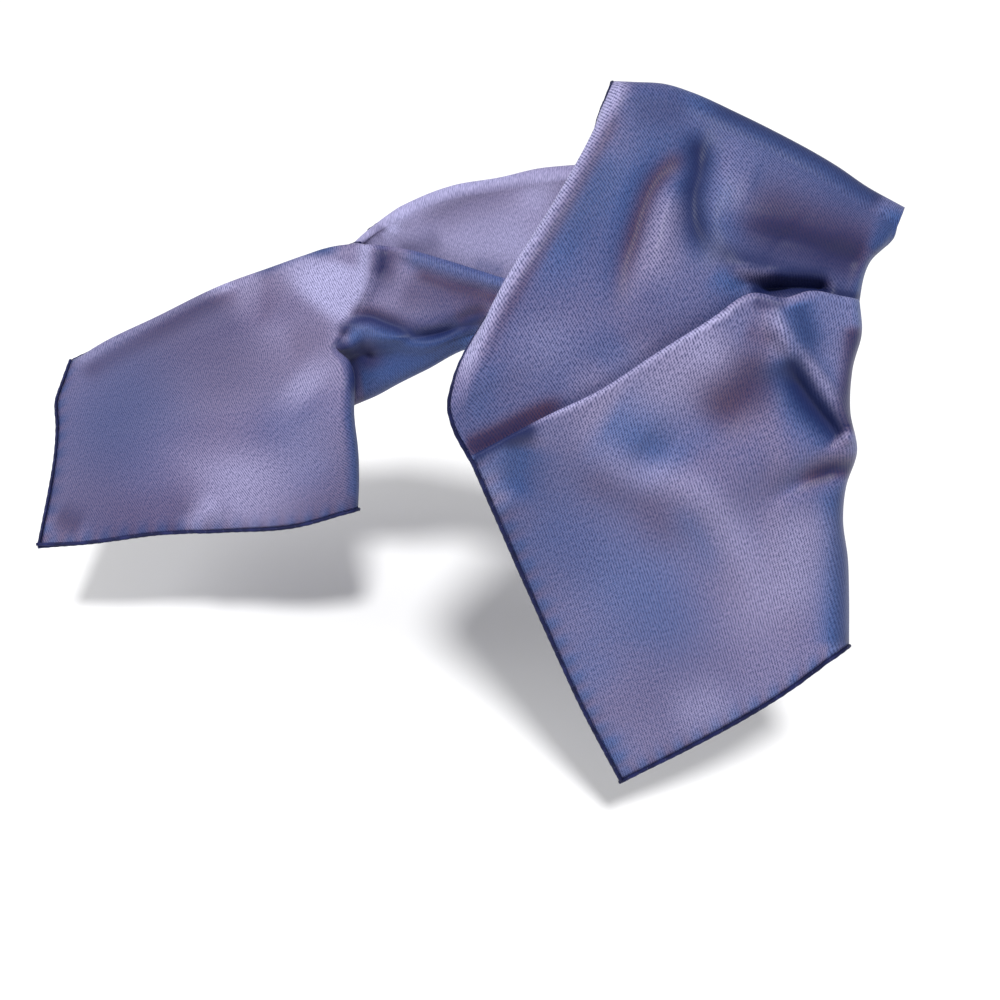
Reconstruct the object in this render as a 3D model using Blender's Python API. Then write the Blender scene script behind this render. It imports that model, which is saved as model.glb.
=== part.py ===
# A square silk scarf, folded twice into a long band and held up at one point, as it hangs from there.
# The front end falls towards the viewer, and the tail runs back and to the left.
# Metres, +Z up. The origin is the hold point.

import math

import bmesh
import bpy
import numpy as np

MM = 0.001

# The cloth
WALL = 1.6            # four layers of silk twill lying on each other
HEM_DIAMETER = 2.4    # a hand-rolled edge
SEAM_GAP = 0.3        # between two pieces that meet

# The drape is laid out in a viewing frame: across to the right, up, and away from a viewer who looks
# down at the hold point. A place keeps its direction from the viewer when only its depth changes.
VIEW_TILT = math.radians(40)
VIEW_DISTANCE = 650.0
VIEW_AXIS_ACROSS = -145.0
VIEW_AXIS_UP = -127.5

# Edge lines of each stretch, as they are seen. Columns: across, up, away, in mm.
FALL_END = (
    (-85.0, -270.0, 110),
    (-55.0, -255.0, 100),
    (-27.0, -240.0, 90),
    (0.0, -223.5, 80),
    (29.0, -202.5, 70),
)
FALL_HEM_SIDE = (
    (-85.0, -270.0, 110),
    (-107.5, -227.5, 85),
    (-123.5, -192.5, 64),
    (-136.5, -163.0, 45),
    (-151.5, -129.5, 22),
    (-161.5, -106.5, 5),
)
FALL_FOLD_SIDE = (
    (29.0, -202.5, 70),
    (29.0, -177.5, 60),
    (28.5, -159.0, 50),
    (26.0, -137.0, 36),
    (27.5, -120.5, 26),
    (33.0, -102.0, 14),
    (29.5, -82.5, 10),
    (30.5, -60.5, 7),
    (35.0, -40.0, 3),
    (34.0, -27.0, 0),
)
FALL_LIP = (
    (-161.5, -106.5, 5),
    (-122.0, -85.5, -2),
    (-97.0, -73.5, -6),
    (-67.5, -54.5, -10),
    (-38.5, -37.0, -12),
    (-16.5, -24.5, -12),
    (1.0, -27.0, -12),
    (13.0, -24.0, -9),
    (34.0, -27.0, 0),
)
UPPER_HEM_SIDE = (
    (-162.5, -105.0, 9),
    (-169.0, -91.5, 4),
    (-171.0, -80.5, -1),
    (-168.0, -71.5, -5),
    (-158.5, -50.0, -12),
    (-142.0, -16.5, -18),
    (-115.0, 28.0, -15),
    (-97.0, 61.5, -6),
    (-88.0, 82.0, 0),
)
UPPER_FOLD_SIDE = (
    (35.0, -27.5, 12),
    (40.5, -6.5, 12),
    (46.5, 0.0, 13),
    (54.0, 9.5, 16),
    (58.0, 18.5, 20),
)
UPPER_TOP = (
    (-88.0, 82.0, 0),
    (-66.0, 80.5, 5),
    (-52.0, 76.5, 8),
    (-28.0, 66.5, 10),
    (-3.0, 54.5, 12),
    (25.5, 38.5, 14),
    (43.5, 26.5, 17),
    (58.0, 18.5, 20),
)
BACK_HEM_SIDE = (
    (-88.0, 72.0, 20),
    (-91.0, 57.0, 34),
    (-95.0, 41.0, 50),
)
BACK_FOLD_SIDE = (
    (53.0, 9.0, 40),
    (30.0, -15.0, 62),
    (-20.0, -45.0, 82),
    (-80.0, -58.0, 95),
    (-145.0, -50.0, 104),
)
BACK_SEAM = (
    (-95.0, 41.0, 50),
    (-107.0, 18.0, 62),
    (-119.0, -4.0, 76),
    (-132.0, -27.0, 90),
    (-145.0, -50.0, 104),
)
LAYER_TOP = (
    (-95.0, 41.0, 50),
    (-110.0, 40.0, 56),
    (-125.0, 38.5, 66),
    (-145.0, 34.0, 82),
    (-168.5, 30.0, 101),
    (-189.5, 22.0, 122),
    (-207.0, 11.0, 143),
    (-218.0, 1.0, 158),
)
LAYER_FOOT = (
    (-121.5, -8.5, 79),
    (-140.0, -26.0, 102),
    (-175.0, -24.0, 128),
    (-200.0, -14.0, 150),
    (-220.0, -6.0, 166),
)
NEAR_TOP = (
    (-127.0, -17.0, 84),
    (-142.0, -16.5, 86),
    (-154.0, -13.0, 94),
    (-171.5, -7.5, 106),
    (-189.0, -2.5, 121),
    (-209.0, 0.5, 141),
)
NEAR_FOOT = (
    (-145.0, -50.0, 104),
    (-159.5, -51.0, 113),
    (-182.0, -62.0, 130),
    (-196.0, -69.0, 144),
    (-207.0, -75.0, 159),
    (-217.5, -79.5, 171),
    (-230.0, -85.0, 184),
)
FORK_ROW = 6  # of the next table and of LEFT_FOLD_SIDE: the near layers and the left end part below it
NEAR_LEFT = (
    (-209.0, 0.5, 141),
    (-208.5, -9.0, 141),
    (-210.5, -18.0, 143),
    (-214.5, -29.0, 147),
    (-219.5, -39.0, 149),
    (-223.5, -45.5, 150),
    (-226.0, -49.5, 150),
    (-229.0, -62.0, 170),
    (-230.0, -85.0, 184),
)
LEFT_TOP = (
    (-209.0, 0.5, 141),
    (-226.0, -0.5, 154),
    (-242.0, -5.0, 165),
    (-258.0, -10.5, 177),
    (-283.5, -19.5, 195),
    (-318.5, -36.5, 222),
    (-347.0, -50.5, 243),
    (-362.0, -60.0, 255),
)
LEFT_HEM_SIDE = (
    (-362.0, -60.0, 255),
    (-366.0, -72.0, 249),
    (-367.0, -88.0, 242),
    (-371.0, -119.5, 229),
    (-377.5, -152.5, 214),
)
LEFT_END = (
    (-216.5, -134.0, 173),
    (-242.0, -141.0, 182),
    (-280.0, -144.5, 194),
    (-318.5, -146.5, 202),
    (-353.5, -151.0, 209),
    (-377.5, -152.5, 214),
)
LEFT_FOLD_SIDE = (
    (-209.0, 0.5, 141),
    (-208.5, -9.0, 141),
    (-210.5, -18.0, 143),
    (-214.5, -29.0, 147),
    (-219.5, -39.0, 149),
    (-223.5, -45.5, 150),
    (-226.0, -49.5, 150),
    (-220.0, -59.0, 142),
    (-218.5, -68.5, 137),
    (-218.5, -84.5, 139),
    (-216.5, -103.0, 148),
    (-216.0, -119.5, 161),
    (-216.5, -134.0, 173),
)

# How an edge turns back. Columns: place along the edge from 0 to 1, degrees of turn, mm of radius, mm of
# cloth beyond the turn, and mm kept free inside the seen line for half a wall, a hem or a seam.
HALF_WALL = WALL / 2
HEM_ROOM = HEM_DIAMETER + SEAM_GAP
FORK_GAP = 0.7         # at the fork, where a stretch folds away behind another
HALF_HIDDEN_GAP = 0.4  # where stretches meet at an angle, out of sight
TURN_FALL_FOLD = (
    (0.0, 75, 9, 5, HALF_WALL),
    (0.5, 80, 9, 5, HALF_WALL),
    (0.9, 80, 6, 5, HALF_WALL),
    (1.0, 70, 5, 4, HALF_WALL),
)
TURN_UPPER_HEM = (
    (0.0, 0, 5, 8, HEM_ROOM),
    (0.16, 0, 5, 8, HEM_ROOM),
    (0.3, 60, 5, 7, HALF_WALL),
    (0.42, 110, 6, 5, HALF_WALL),
    (0.9, 110, 6, 5, HALF_WALL),
    (1.0, 25, 6, 4, HALF_WALL),
)
TURN_UPPER_FOLD = ((0.0, 70, 5, 5, HALF_WALL), (0.7, 80, 6, 5, HALF_WALL), (1.0, 25, 6, 4, HALF_WALL))
TURN_BACK_HEM = ((0.0, 25, 6, 4, HALF_WALL), (0.5, 60, 6, 4, HALF_WALL), (1.0, 98, 6, 4, HALF_WALL))
TURN_BACK_FOLD = ((0.0, 25, 6, 5, HALF_WALL), (0.3, 70, 6, 5, HALF_WALL), (1.0, 80, 6, 5, HALF_WALL))
TURN_LAYER_TOP = (
    (0.0, 98, 6, 4, HALF_WALL),
    (0.2, 110, 6, 4, HALF_WALL),
    (0.8, 110, 5, 4, HALF_WALL),
    (1.0, 50, 4, 3, HALF_WALL),
)
TURN_NEAR_TOP = ((0.0, 60, 3, 2, HALF_WALL), (1.0, 60, 3, 2, HALF_WALL))
TURN_NEAR_FOOT = ((0.0, 80, 6, 5, HALF_WALL), (1.0, 80, 6, 5, HALF_WALL))
TURN_NEAR_LEFT = (
    (0.0, 0, 1, 0, SEAM_GAP),
    (0.15, 0, 1, 0, SEAM_GAP),
    (0.3, 0, 1, 0, FORK_GAP),
    (1.0, 0, 1, 0, FORK_GAP),
)
TURN_LEFT_TOP = (
    (0.0, 60, 3, 2, HALF_WALL),
    (0.15, 110, 6, 4, HALF_WALL),
    (0.9, 110, 6, 4, HALF_WALL),
    (1.0, 20, 6, 4, HALF_WALL),
)
TURN_LEFT_FOLD = (
    (0.0, 0, 3, 3, SEAM_GAP),
    (0.1, 0, 3, 3, SEAM_GAP),
    (0.2, 0, 3, 3, FORK_GAP),
    (0.36, 0, 3, 3, FORK_GAP),
    (0.5, 70, 4, 4, HALF_WALL),
    (1.0, 75, 5, 4, HALF_WALL),
)

# The pleat below the hold point. Columns: place along the lip, lip radius, depth of the tuck.
PLEAT = ((0.0, 1.4, 2), (0.35, 1.6, 4), (0.6, 2.4, 9), (0.75, 3.0, 14), (0.9, 3.0, 14), (1.0, 2.4, 9))
PLEAT_TURN = math.radians(150)
PLEAT_FOOT_RADIUS = 1.6
PLEAT_GAP = 0.6       # inside the tuck, where nobody sees it
TOP_FOLD_RADIUS = 10.0
CORNER_SHARE = 0.2    # of an edge's length, over which its way out swings to that of the next edge
PULL_SHARE = 0.6      # of the way across a stretch, over which an edge's turn draws the cloth in
CALM_SHARE = 0.15     # of a stretch's length, over which its folds fade towards the pleat

# Folds. Each row: width, height towards the viewer, fade at its start, fade at its end, then the line
# that it follows as (across, up) places, all in mm.
FRONT_FOLDS = (
    (11, -5, 0.3, 0.5, (-49, 46), (-59, 40), (-67, 32), (-73, 19), (-78, 2), (-83, -9), (-88, -42)),
    (9, 3, 0.3, 0.4, (-56, 36), (-63, 14), (-66, 2), (-72, -30)),
    (10, -7, 0.3, 0.4, (-47, 46), (-46, 33), (-49, 25), (-49, 14), (-45, 2), (-36, -10)),
    (12, 3, 0.3, 0.3, (-37, 35), (-15, 27)),
    (11, -5, 0.3, 0.1, (-42, 17), (0, 2), (40, -14)),
    (9, 3, 0.3, 0.3, (-30, -8), (-5, -14), (20, -18)),
    (8, -4, 0.0, 0.4, (-162, -100), (-136, -90), (-110, -78)),
    (9, -7, 0.3, 0.1, (-24, -22), (0, -24), (34, -26)),
)
FALL_FOLDS = (
    (10, 6, 0.2, 0.1, (-7, -35), (1, -53), (13, -71), (27, -94), (33, -99)),
    (9, -4, 0.3, 0.1, (-3, -56), (5, -79), (30, -96)),
    (12, -5, 0.3, 0.4, (-9, -59), (-31, -88), (-47, -98)),
    (9, -5, 0.0, 0.5, (34, -108), (17, -111), (-2, -119), (-17, -134)),
    (16, -4, 0.4, 0.4, (-70, -100), (-60, -106)),
    (18, -3, 0.3, 0.3, (-122, -106), (-82, -122), (-59, -126), (-44, -144), (-30, -173)),
    (10, -3, 0.3, 0.5, (-135, -95), (-132, -110), (-130, -127)),
)
TAIL_FOLDS = (
    (5, 5, 0.1, 0.2,
     (-227, -45), (-222, -41), (-211, -41), (-203, -45), (-189, -49), (-175, -48), (-154, -36)),
    (5, -5, 0.2, 0.2,
     (-220, -38), (-211, -36), (-201, -39), (-190, -43), (-178, -43), (-164, -38), (-148, -28)),
    (4, -3, 0.2, 0.1, (-203, -2), (-191, -10), (-175, -16), (-161, -21), (-140, -24)),
    (4, -4, 0.3, 0.4, (-217, -47), (-211, -52), (-209, -59)),
    (5, 6, 0.0, 0.4, (-209, 4), (-208.5, -9), (-210.5, -18), (-214.5, -29), (-219.5, -39)),
    (4, -3, 0.0, 0.4, (-200, 3), (-200, -10), (-203, -20)),
)


def line_along(rows, places):
    """A smooth line through a table's rows, read at places from 0 to 1 of its length."""
    rows = np.array(rows, float)
    steps = np.linalg.norm(np.diff(rows, axis=0), axis=1)
    knots = np.concatenate([[0.0], np.cumsum(steps)]) / steps.sum()
    slopes = np.gradient(rows, knots, axis=0)
    places = np.asarray(places, float)
    index = np.clip(np.searchsorted(knots, places, side="right") - 1, 0, len(rows) - 2)
    span = (knots[index + 1] - knots[index])[:, None]
    t = ((places - knots[index]) / span[:, 0])[:, None]
    low, high = rows[index], rows[index + 1]
    low_slope, high_slope = slopes[index] * span, slopes[index + 1] * span
    return (
        low * (2 * t**3 - 3 * t**2 + 1)
        + low_slope * (t**3 - 2 * t**2 + t)
        + high * (3 * t**2 - 2 * t**3)
        + high_slope * (t**3 - t**2)
    )


def places_past(rows, row, before, after):
    """Places along a table's line, with even steps before and after one of its rows."""
    steps = np.linalg.norm(np.diff(np.array(rows, float), axis=0), axis=1)
    share = steps[:row].sum() / steps.sum()
    return np.concatenate([np.linspace(0, share, before + 1), np.linspace(share, 1, after + 1)[1:]])


def column(table, places, index):
    """One column of a table whose first column is the place from 0 to 1."""
    table = np.array(table, float)
    return np.interp(places, table[:, 0], table[:, index])


def unit(ways):
    """Directions of length one."""
    return ways / np.linalg.norm(ways, axis=-1, keepdims=True)


def in_world(seen):
    """Places in the viewing frame, in mm, as world places in metres."""
    across, up, away = seen[..., 0], seen[..., 1], seen[..., 2]
    spread = 1 + away / VIEW_DISTANCE
    across = VIEW_AXIS_ACROSS + (across - VIEW_AXIS_ACROSS) * spread
    up = VIEW_AXIS_UP + (up - VIEW_AXIS_UP) * spread
    cosine, sine = math.cos(VIEW_TILT), math.sin(VIEW_TILT)
    return np.stack([across, up * sine + away * cosine, up * cosine - away * sine], axis=-1) * MM


class Edge:
    """One edge of a stretch: its seen line, and how the cloth turns there."""

    def __init__(self, rows, turn=None, steps=0, side=1, trim=0.0):
        self.rows = rows
        self.turn = turn or ((0.0, 0, 1, 0, trim), (1.0, 0, 1, 0, trim))
        self.steps = steps
        self.side = side

    def at(self, places):
        """The seen line at an array of places."""
        return line_along(self.rows, np.ravel(places)).reshape(*np.shape(places), 3)

    def read(self, places, inside, first, last):
        """Reads the turn at each place, and the way out of the cloth.

        The way out is square to the line, and swings at the line's ends to follow the edges that it
        meets there, which are given as first and last; inside is a place on the cloth's side.
        """
        self.angle = np.radians(column(self.turn, places, 1))
        self.radius = column(self.turn, places, 2)
        self.length = self.radius * self.angle + column(self.turn, places, 3)
        self.inset = column(self.turn, places, 4)
        if self.steps:
            quarter = self.radius * math.pi / 2 / self.length
            self.inset = self.inset + self.turned(np.minimum(1.0, quarter))[0]
        line = self.at(places)[:, :2]
        along = unit(np.gradient(line, axis=0))
        square = np.stack([-along[:, 1], along[:, 0]], axis=1)
        middle = len(line) // 2
        if np.dot(inside[:2] - line[middle], square[middle]) > 0:
            square = -square
        out = square
        for way, distance in ((first, places), (last, 1 - places)):
            share = np.clip(1 - distance / CORNER_SHARE, 0, 1)[:, None]
            out = unit(out * (1 - share) + way * share)
        self.out = out / np.maximum(0.5, np.sum(out * square, axis=1))[:, None]

    def turned(self, share):
        """How far sideways and back the cloth has gone after a share of its length past the edge."""
        run = share * self.length
        arc = np.minimum(run, self.radius * self.angle)
        straight = run - arc
        theta = arc / self.radius
        sideways = self.radius * np.sin(theta) + straight * np.cos(theta)
        back = self.radius * (1 - np.cos(theta)) + straight * np.sin(theta)
        return sideways, back * self.side

    def strips(self):
        """Offsets of the rows of points past the edge, from the innermost outwards."""
        made = []
        for step in range(1, self.steps + 1):
            sideways, back = self.turned(np.full(len(self.out), step / self.steps))
            made.append(np.concatenate([self.out * sideways[:, None], back[:, None]], axis=1))
        return made


def fold_depth(seen, folds):
    """How far the folds bring each place towards the viewer."""
    depth = np.zeros(seen.shape[:-1])
    for width, height, fade_in, fade_out, *places in folds:
        line = line_along(places, np.linspace(0, 1, 40))
        apart = np.linalg.norm(seen[..., None, :2] - line, axis=-1)
        along = apart.argmin(axis=-1) / (len(line) - 1)
        strength = np.ones(along.shape)
        if fade_in:
            strength *= np.clip(along / fade_in, 0, 1)
        if fade_out:
            strength *= np.clip((1 - along) / fade_out, 0, 1)
        strength = strength * strength * (3 - 2 * strength)
        depth += height * strength * np.exp(-((apart.min(axis=-1) / width) ** 2))
    return depth


def drape(near, far, left, right, across, along, folds, near_places=None, far_places=None, calm=None):
    """The middle surface of a stretch: rows run along it from near to far, columns from left to right.

    The folds fade out towards the edge named by calm, where the stretch meets another in a pleat.
    """
    s = np.linspace(0, 1, along)
    near_t = np.linspace(0, 1, across) if near_places is None else near_places
    far_t = np.linspace(0, 1, across) if far_places is None else far_places
    s2 = s[:, None]
    t2 = (1 - s2) * near_t + s2 * far_t
    s3, t3 = s2[..., None], t2[..., None]
    ends = np.array([0.0, 1.0])
    (near_left, near_right), (far_left, far_right) = near.at(ends), far.at(ends)
    flat = (1 - s3) * ((1 - t3) * near_left + t3 * near_right)
    flat = flat + s3 * ((1 - t3) * far_left + t3 * far_right)
    surface = (1 - s3) * near.at(t2) + s3 * far.at(t2)
    surface = surface + (1 - t3) * left.at(s)[:, None] + t3 * right.at(s)[:, None] - flat

    inside = surface[along // 2, across // 2]
    tangents = {}
    for name, edge in (("near", near), ("far", far), ("left", left), ("right", right)):
        line = edge.at(np.array([0.0, 0.04, 0.96, 1.0]))[:, :2]
        tangents[name] = unit(np.stack([line[0] - line[1], line[3] - line[2]]))
    near.read(near_t, inside, tangents["left"][0], tangents["right"][0])
    far.read(far_t, inside, tangents["left"][1], tangents["right"][1])
    left.read(s, inside, tangents["near"][0], tangents["far"][0])
    right.read(s, inside, tangents["near"][1], tangents["far"][1])
    for edge, distance, axis in ((near, s2, 0), (far, 1 - s2, 0), (left, t2, 1), (right, 1 - t2, 1)):
        weight = np.clip(1 - distance / PULL_SHARE, 0, 1) ** 2
        pull = np.expand_dims(edge.out * edge.inset[:, None], axis)
        surface[..., :2] -= weight[..., None] * pull

    before = [surface[0] + strip for strip in reversed(near.strips())]
    after = [surface[-1] + strip for strip in far.strips()]
    surface = np.stack([*before, *surface, *after])
    row_of = [0] * near.steps + list(range(along)) + [along - 1] * far.steps
    before = [surface[:, 0] + strip[row_of] for strip in reversed(left.strips())]
    after = [surface[:, -1] + strip[row_of] for strip in right.strips()]
    surface = np.stack(before + [surface[:, k] for k in range(across)] + after, axis=1)

    strength = np.ones(len(surface))
    if calm == "near":
        strength = np.clip((np.arange(len(surface)) - near.steps) / (CALM_SHARE * along), 0, 1)
    if calm == "far":
        strength = np.clip((len(surface) - 1 - np.arange(len(surface))) / far.steps, 0, 1)
    surface[..., 2] -= fold_depth(surface, folds) * strength[:, None]
    return surface


def material(name, colour, roughness):
    made = bpy.data.materials.new(name)
    made.use_nodes = True
    shader = made.node_tree.nodes["Principled BSDF"]
    shader.inputs["Base Color"].default_value = (*colour, 1)
    shader.inputs["Roughness"].default_value = roughness
    shader.inputs["Metallic"].default_value = 0.0
    return made


def wall(name, surface, look):
    """A wall of cloth about its middle surface."""
    points = in_world(surface)
    rows, columns = points.shape[:2]
    mesh = bpy.data.meshes.new(name)
    grid = bmesh.new()
    bmesh.ops.create_grid(grid, x_segments=columns - 1, y_segments=rows - 1, size=1)
    grid.verts.ensure_lookup_table()
    for vertex in grid.verts:
        row = round((vertex.co.y + 1) / 2 * (rows - 1))
        place = round((vertex.co.x + 1) / 2 * (columns - 1))
        vertex.co = points[row, place]
    grid.to_mesh(mesh)
    grid.free()
    piece = bpy.data.objects.new(name, mesh)
    bpy.context.collection.objects.link(piece)
    thickness = piece.modifiers.new("Wall", "SOLIDIFY")
    thickness.thickness = WALL * MM
    thickness.offset = 0
    mesh.shade_smooth()
    mesh.set_sharp_from_angle(angle=math.radians(60))
    mesh.materials.append(look)
    return piece


def edge_frame(surface, which):
    """World points of one edge of a surface, with the directions out of the cloth and square to it."""
    points = in_world(surface)
    edge, inner = {
        "near": (points[0], points[1]),
        "far": (points[-1], points[-2]),
        "left": (points[:, 0], points[:, 1]),
        "right": (points[:, -1], points[:, -2]),
    }[which]
    along = unit(np.gradient(edge, axis=0))
    out = edge - inner
    out = unit(out - along * np.sum(out * along, axis=1)[:, None])
    return edge, out, np.cross(along, out)


def rolled_hem(name, surface, which, look, lift=0.0, start=0.0, end=0.0):
    """A rolled edge just past the wall; lift moves it to one face, start and end shorten it."""
    edge, out, square = edge_frame(surface, which)
    radius = HEM_DIAMETER / 2
    clear = math.sqrt((radius + SEAM_GAP) ** 2 - max(0.0, lift - WALL / 2) ** 2)
    line = edge + (out * clear + square * lift) * MM
    first_step = (line[0] - line[1]) / np.linalg.norm(line[0] - line[1])
    last_step = (line[-1] - line[-2]) / np.linalg.norm(line[-1] - line[-2])
    line[0] += first_step * max(0.0, -start) * MM
    line[-1] += last_step * max(0.0, -end) * MM
    run = np.concatenate([[0], np.cumsum(np.linalg.norm(np.diff(line, axis=0), axis=1))]) / MM
    first, last = max(0.0, start), run[-1] - max(0.0, end)
    stops = [first] + [r for r in run[1:-1] if first + 2 < r < last - 2] + [last]
    line = np.stack([np.interp(stops, run, line[:, axis]) for axis in range(3)], axis=1)
    curve = bpy.data.curves.new(name, "CURVE")
    curve.dimensions = "3D"
    curve.bevel_depth = radius * MM
    curve.bevel_resolution = 1
    curve.use_fill_caps = True
    spline = curve.splines.new("POLY")
    spline.points.add(len(line) - 1)
    for point, place in zip(spline.points, line):
        point.co = (*place, 1)
        point.radius = 1
    piece = bpy.data.objects.new(name, curve)
    bpy.context.collection.objects.link(piece)
    curve.materials.append(look)
    return piece


def moved_line(rows, inward, away):
    """A table's line, which runs to the right, moved down square to itself and away from the viewer."""
    line = line_along(rows, np.linspace(0, 1, 13))
    along = unit(np.gradient(line[:, :2], axis=0))
    up = np.stack([-along[:, 1], along[:, 0]], axis=1)
    line[:, :2] -= up * np.broadcast_to(inward, len(line))[:, None]
    line[:, 2] += away
    return [tuple(row) for row in line]


def pleat_foot():
    """The foot of the upper front: the lip's line moved down into the pleat and behind the lip."""
    places = np.linspace(0, 1, 13)
    radius = column(PLEAT, places, 1)
    run = column(PLEAT, places, 2) + PLEAT_GAP
    foot = PLEAT_FOOT_RADIUS
    cosine, sine = math.cos(PLEAT_TURN), math.sin(PLEAT_TURN)
    inward = HALF_WALL + radius - radius * sine - run * cosine + foot * (1 - sine)
    return moved_line(FALL_LIP, inward, (radius + foot) * (1 - cosine) + run * sine)


def main():
    for thing in list(bpy.data.objects):
        bpy.data.objects.remove(thing)

    silk = material("shot silk twill", (0.20, 0.17, 0.36), 0.42)
    hem = material("rolled silk hem", (0.025, 0.03, 0.12), 0.5)

    pleat_degrees = math.degrees(PLEAT_TURN)
    lip_turn = [(place, pleat_degrees, radius, depth, HALF_WALL) for place, radius, depth in PLEAT]
    foot_turn = [(place, pleat_degrees, PLEAT_FOOT_RADIUS, 0, 0) for place in (0, 1)]
    top_turn = [(place, 180, TOP_FOLD_RADIUS, 0, HALF_WALL) for place in (0, 1)]
    fall = drape(
        near=Edge(FALL_END, trim=HEM_ROOM),
        far=Edge(FALL_LIP, turn=lip_turn, steps=7),
        left=Edge(FALL_HEM_SIDE, trim=HEM_ROOM),
        right=Edge(FALL_FOLD_SIDE, turn=TURN_FALL_FOLD, steps=4),
        across=22,
        along=24,
        folds=FALL_FOLDS,
        calm="far",
    )
    wall("front_fall", fall, silk)

    foot = pleat_foot()
    hem_side = [foot[0]] + list(UPPER_HEM_SIDE[1:])
    fold_side = [foot[-1]] + list(UPPER_FOLD_SIDE[1:])
    upper = drape(
        near=Edge(foot, turn=foot_turn, steps=4, side=-1),
        far=Edge(UPPER_TOP, turn=top_turn, steps=7),
        left=Edge(hem_side, turn=TURN_UPPER_HEM, steps=4),
        right=Edge(fold_side, turn=TURN_UPPER_FOLD, steps=3),
        across=24,
        along=20,
        folds=FRONT_FOLDS,
        calm="near",
    )
    wall("upper_front", upper, silk)

    over_the_top = moved_line(UPPER_TOP, TOP_FOLD_RADIUS + WALL, 2 * TOP_FOLD_RADIUS)
    back = drape(
        near=Edge(over_the_top, trim=4 * HALF_HIDDEN_GAP),
        far=Edge(BACK_SEAM, trim=HALF_HIDDEN_GAP),
        left=Edge(BACK_HEM_SIDE, turn=TURN_BACK_HEM, steps=3),
        right=Edge(BACK_FOLD_SIDE, turn=TURN_BACK_FOLD, steps=3),
        across=14,
        along=14,
        folds=(),
    )
    wall("back_run", back, silk)

    layer = drape(
        near=Edge([BACK_SEAM[0], (-108.5, 15.5, 64), LAYER_FOOT[0]], trim=HALF_WALL),
        far=Edge([LAYER_TOP[-1], LAYER_FOOT[-1]]),
        left=Edge(LAYER_TOP, turn=TURN_LAYER_TOP, steps=3),
        right=Edge(LAYER_FOOT),
        across=8,
        along=16,
        folds=(),
    )
    wall("tail_upper_layer", layer, silk)

    near = drape(
        near=Edge([NEAR_TOP[0], (-135.0, -32.0, 93), NEAR_FOOT[0]], trim=HALF_HIDDEN_GAP),
        far=Edge(NEAR_LEFT, turn=TURN_NEAR_LEFT),
        left=Edge(NEAR_TOP, turn=TURN_NEAR_TOP, steps=2),
        right=Edge(NEAR_FOOT, turn=TURN_NEAR_FOOT, steps=3),
        across=20,
        along=18,
        folds=TAIL_FOLDS,
        far_places=places_past(NEAR_LEFT, FORK_ROW, 11, 8),
    )
    wall("tail_near_layer", near, silk)

    end = drape(
        near=Edge(LEFT_FOLD_SIDE, turn=TURN_LEFT_FOLD, steps=3),
        far=Edge(LEFT_HEM_SIDE, trim=HEM_ROOM),
        left=Edge(LEFT_TOP, turn=TURN_LEFT_TOP, steps=3),
        right=Edge(LEFT_END, trim=HEM_ROOM),
        across=24,
        along=24,
        folds=TAIL_FOLDS,
        near_places=places_past(LEFT_FOLD_SIDE, FORK_ROW, 11, 12),
    )
    wall("left_end", end, silk)

    beside = HEM_DIAMETER / 2 + SEAM_GAP / 2
    rolled_hem("hem_front_side_outer", fall[:24], "left", hem, lift=beside)
    rolled_hem("hem_front_side_inner", fall[:24], "left", hem, lift=-beside)
    rolled_hem("hem_front_end_outer", fall, "near", hem, lift=-beside, start=-HEM_ROOM)
    rolled_hem("hem_front_end_inner", fall, "near", hem, lift=beside, start=-HEM_ROOM)
    rolled_hem("hem_upper_side", upper, "left", hem, start=5)
    rolled_hem("hem_back_side", back, "left", hem, start=3, end=1)
    rolled_hem("hem_tail_side", layer, "left", hem, start=1)
    rolled_hem("hem_left_top", end, "left", hem)
    rolled_hem("hem_left_side_outer", end, "far", hem, lift=-beside)
    rolled_hem("hem_left_side_inner", end, "far", hem, lift=beside)
    rolled_hem("hem_left_end_outer", end, "right", hem, lift=beside, end=-HEM_ROOM)
    rolled_hem("hem_left_end_inner", end, "right", hem, lift=-beside, end=-HEM_ROOM)


main()
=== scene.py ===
import math
import bmesh
import bpy
import numpy as np
from mathutils import Matrix, Vector


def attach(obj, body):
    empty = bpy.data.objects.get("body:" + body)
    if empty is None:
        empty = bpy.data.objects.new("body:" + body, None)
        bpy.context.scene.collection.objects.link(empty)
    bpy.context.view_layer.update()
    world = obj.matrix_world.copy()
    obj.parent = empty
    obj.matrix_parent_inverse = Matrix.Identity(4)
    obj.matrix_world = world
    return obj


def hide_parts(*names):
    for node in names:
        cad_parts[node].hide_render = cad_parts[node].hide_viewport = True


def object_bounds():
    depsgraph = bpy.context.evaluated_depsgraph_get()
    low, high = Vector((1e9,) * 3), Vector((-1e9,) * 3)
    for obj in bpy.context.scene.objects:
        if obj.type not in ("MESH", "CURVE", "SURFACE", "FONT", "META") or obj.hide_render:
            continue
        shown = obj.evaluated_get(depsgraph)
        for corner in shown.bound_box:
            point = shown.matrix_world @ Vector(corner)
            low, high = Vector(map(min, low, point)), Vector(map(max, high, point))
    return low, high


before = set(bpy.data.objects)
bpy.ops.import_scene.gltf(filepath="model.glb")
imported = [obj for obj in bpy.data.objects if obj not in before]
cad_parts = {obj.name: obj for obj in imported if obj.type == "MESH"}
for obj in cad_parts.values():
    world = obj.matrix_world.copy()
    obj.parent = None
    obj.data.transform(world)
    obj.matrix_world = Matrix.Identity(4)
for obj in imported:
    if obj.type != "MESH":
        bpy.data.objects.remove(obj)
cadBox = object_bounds()
print("frame loaded")

mm = 0.001

cloth = {
    "wall": 1.6,          # four layers of silk lying on each other
    "hem": 2.4,           # thickness of the rolled edge
    "hemGap": 0.15,       # what the walls leave free beside the roll
    "hemTuck": 0.3,       # how far the roll laps over the wall's edge
    "walePitch": 1.45,    # twill lines
}

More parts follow.
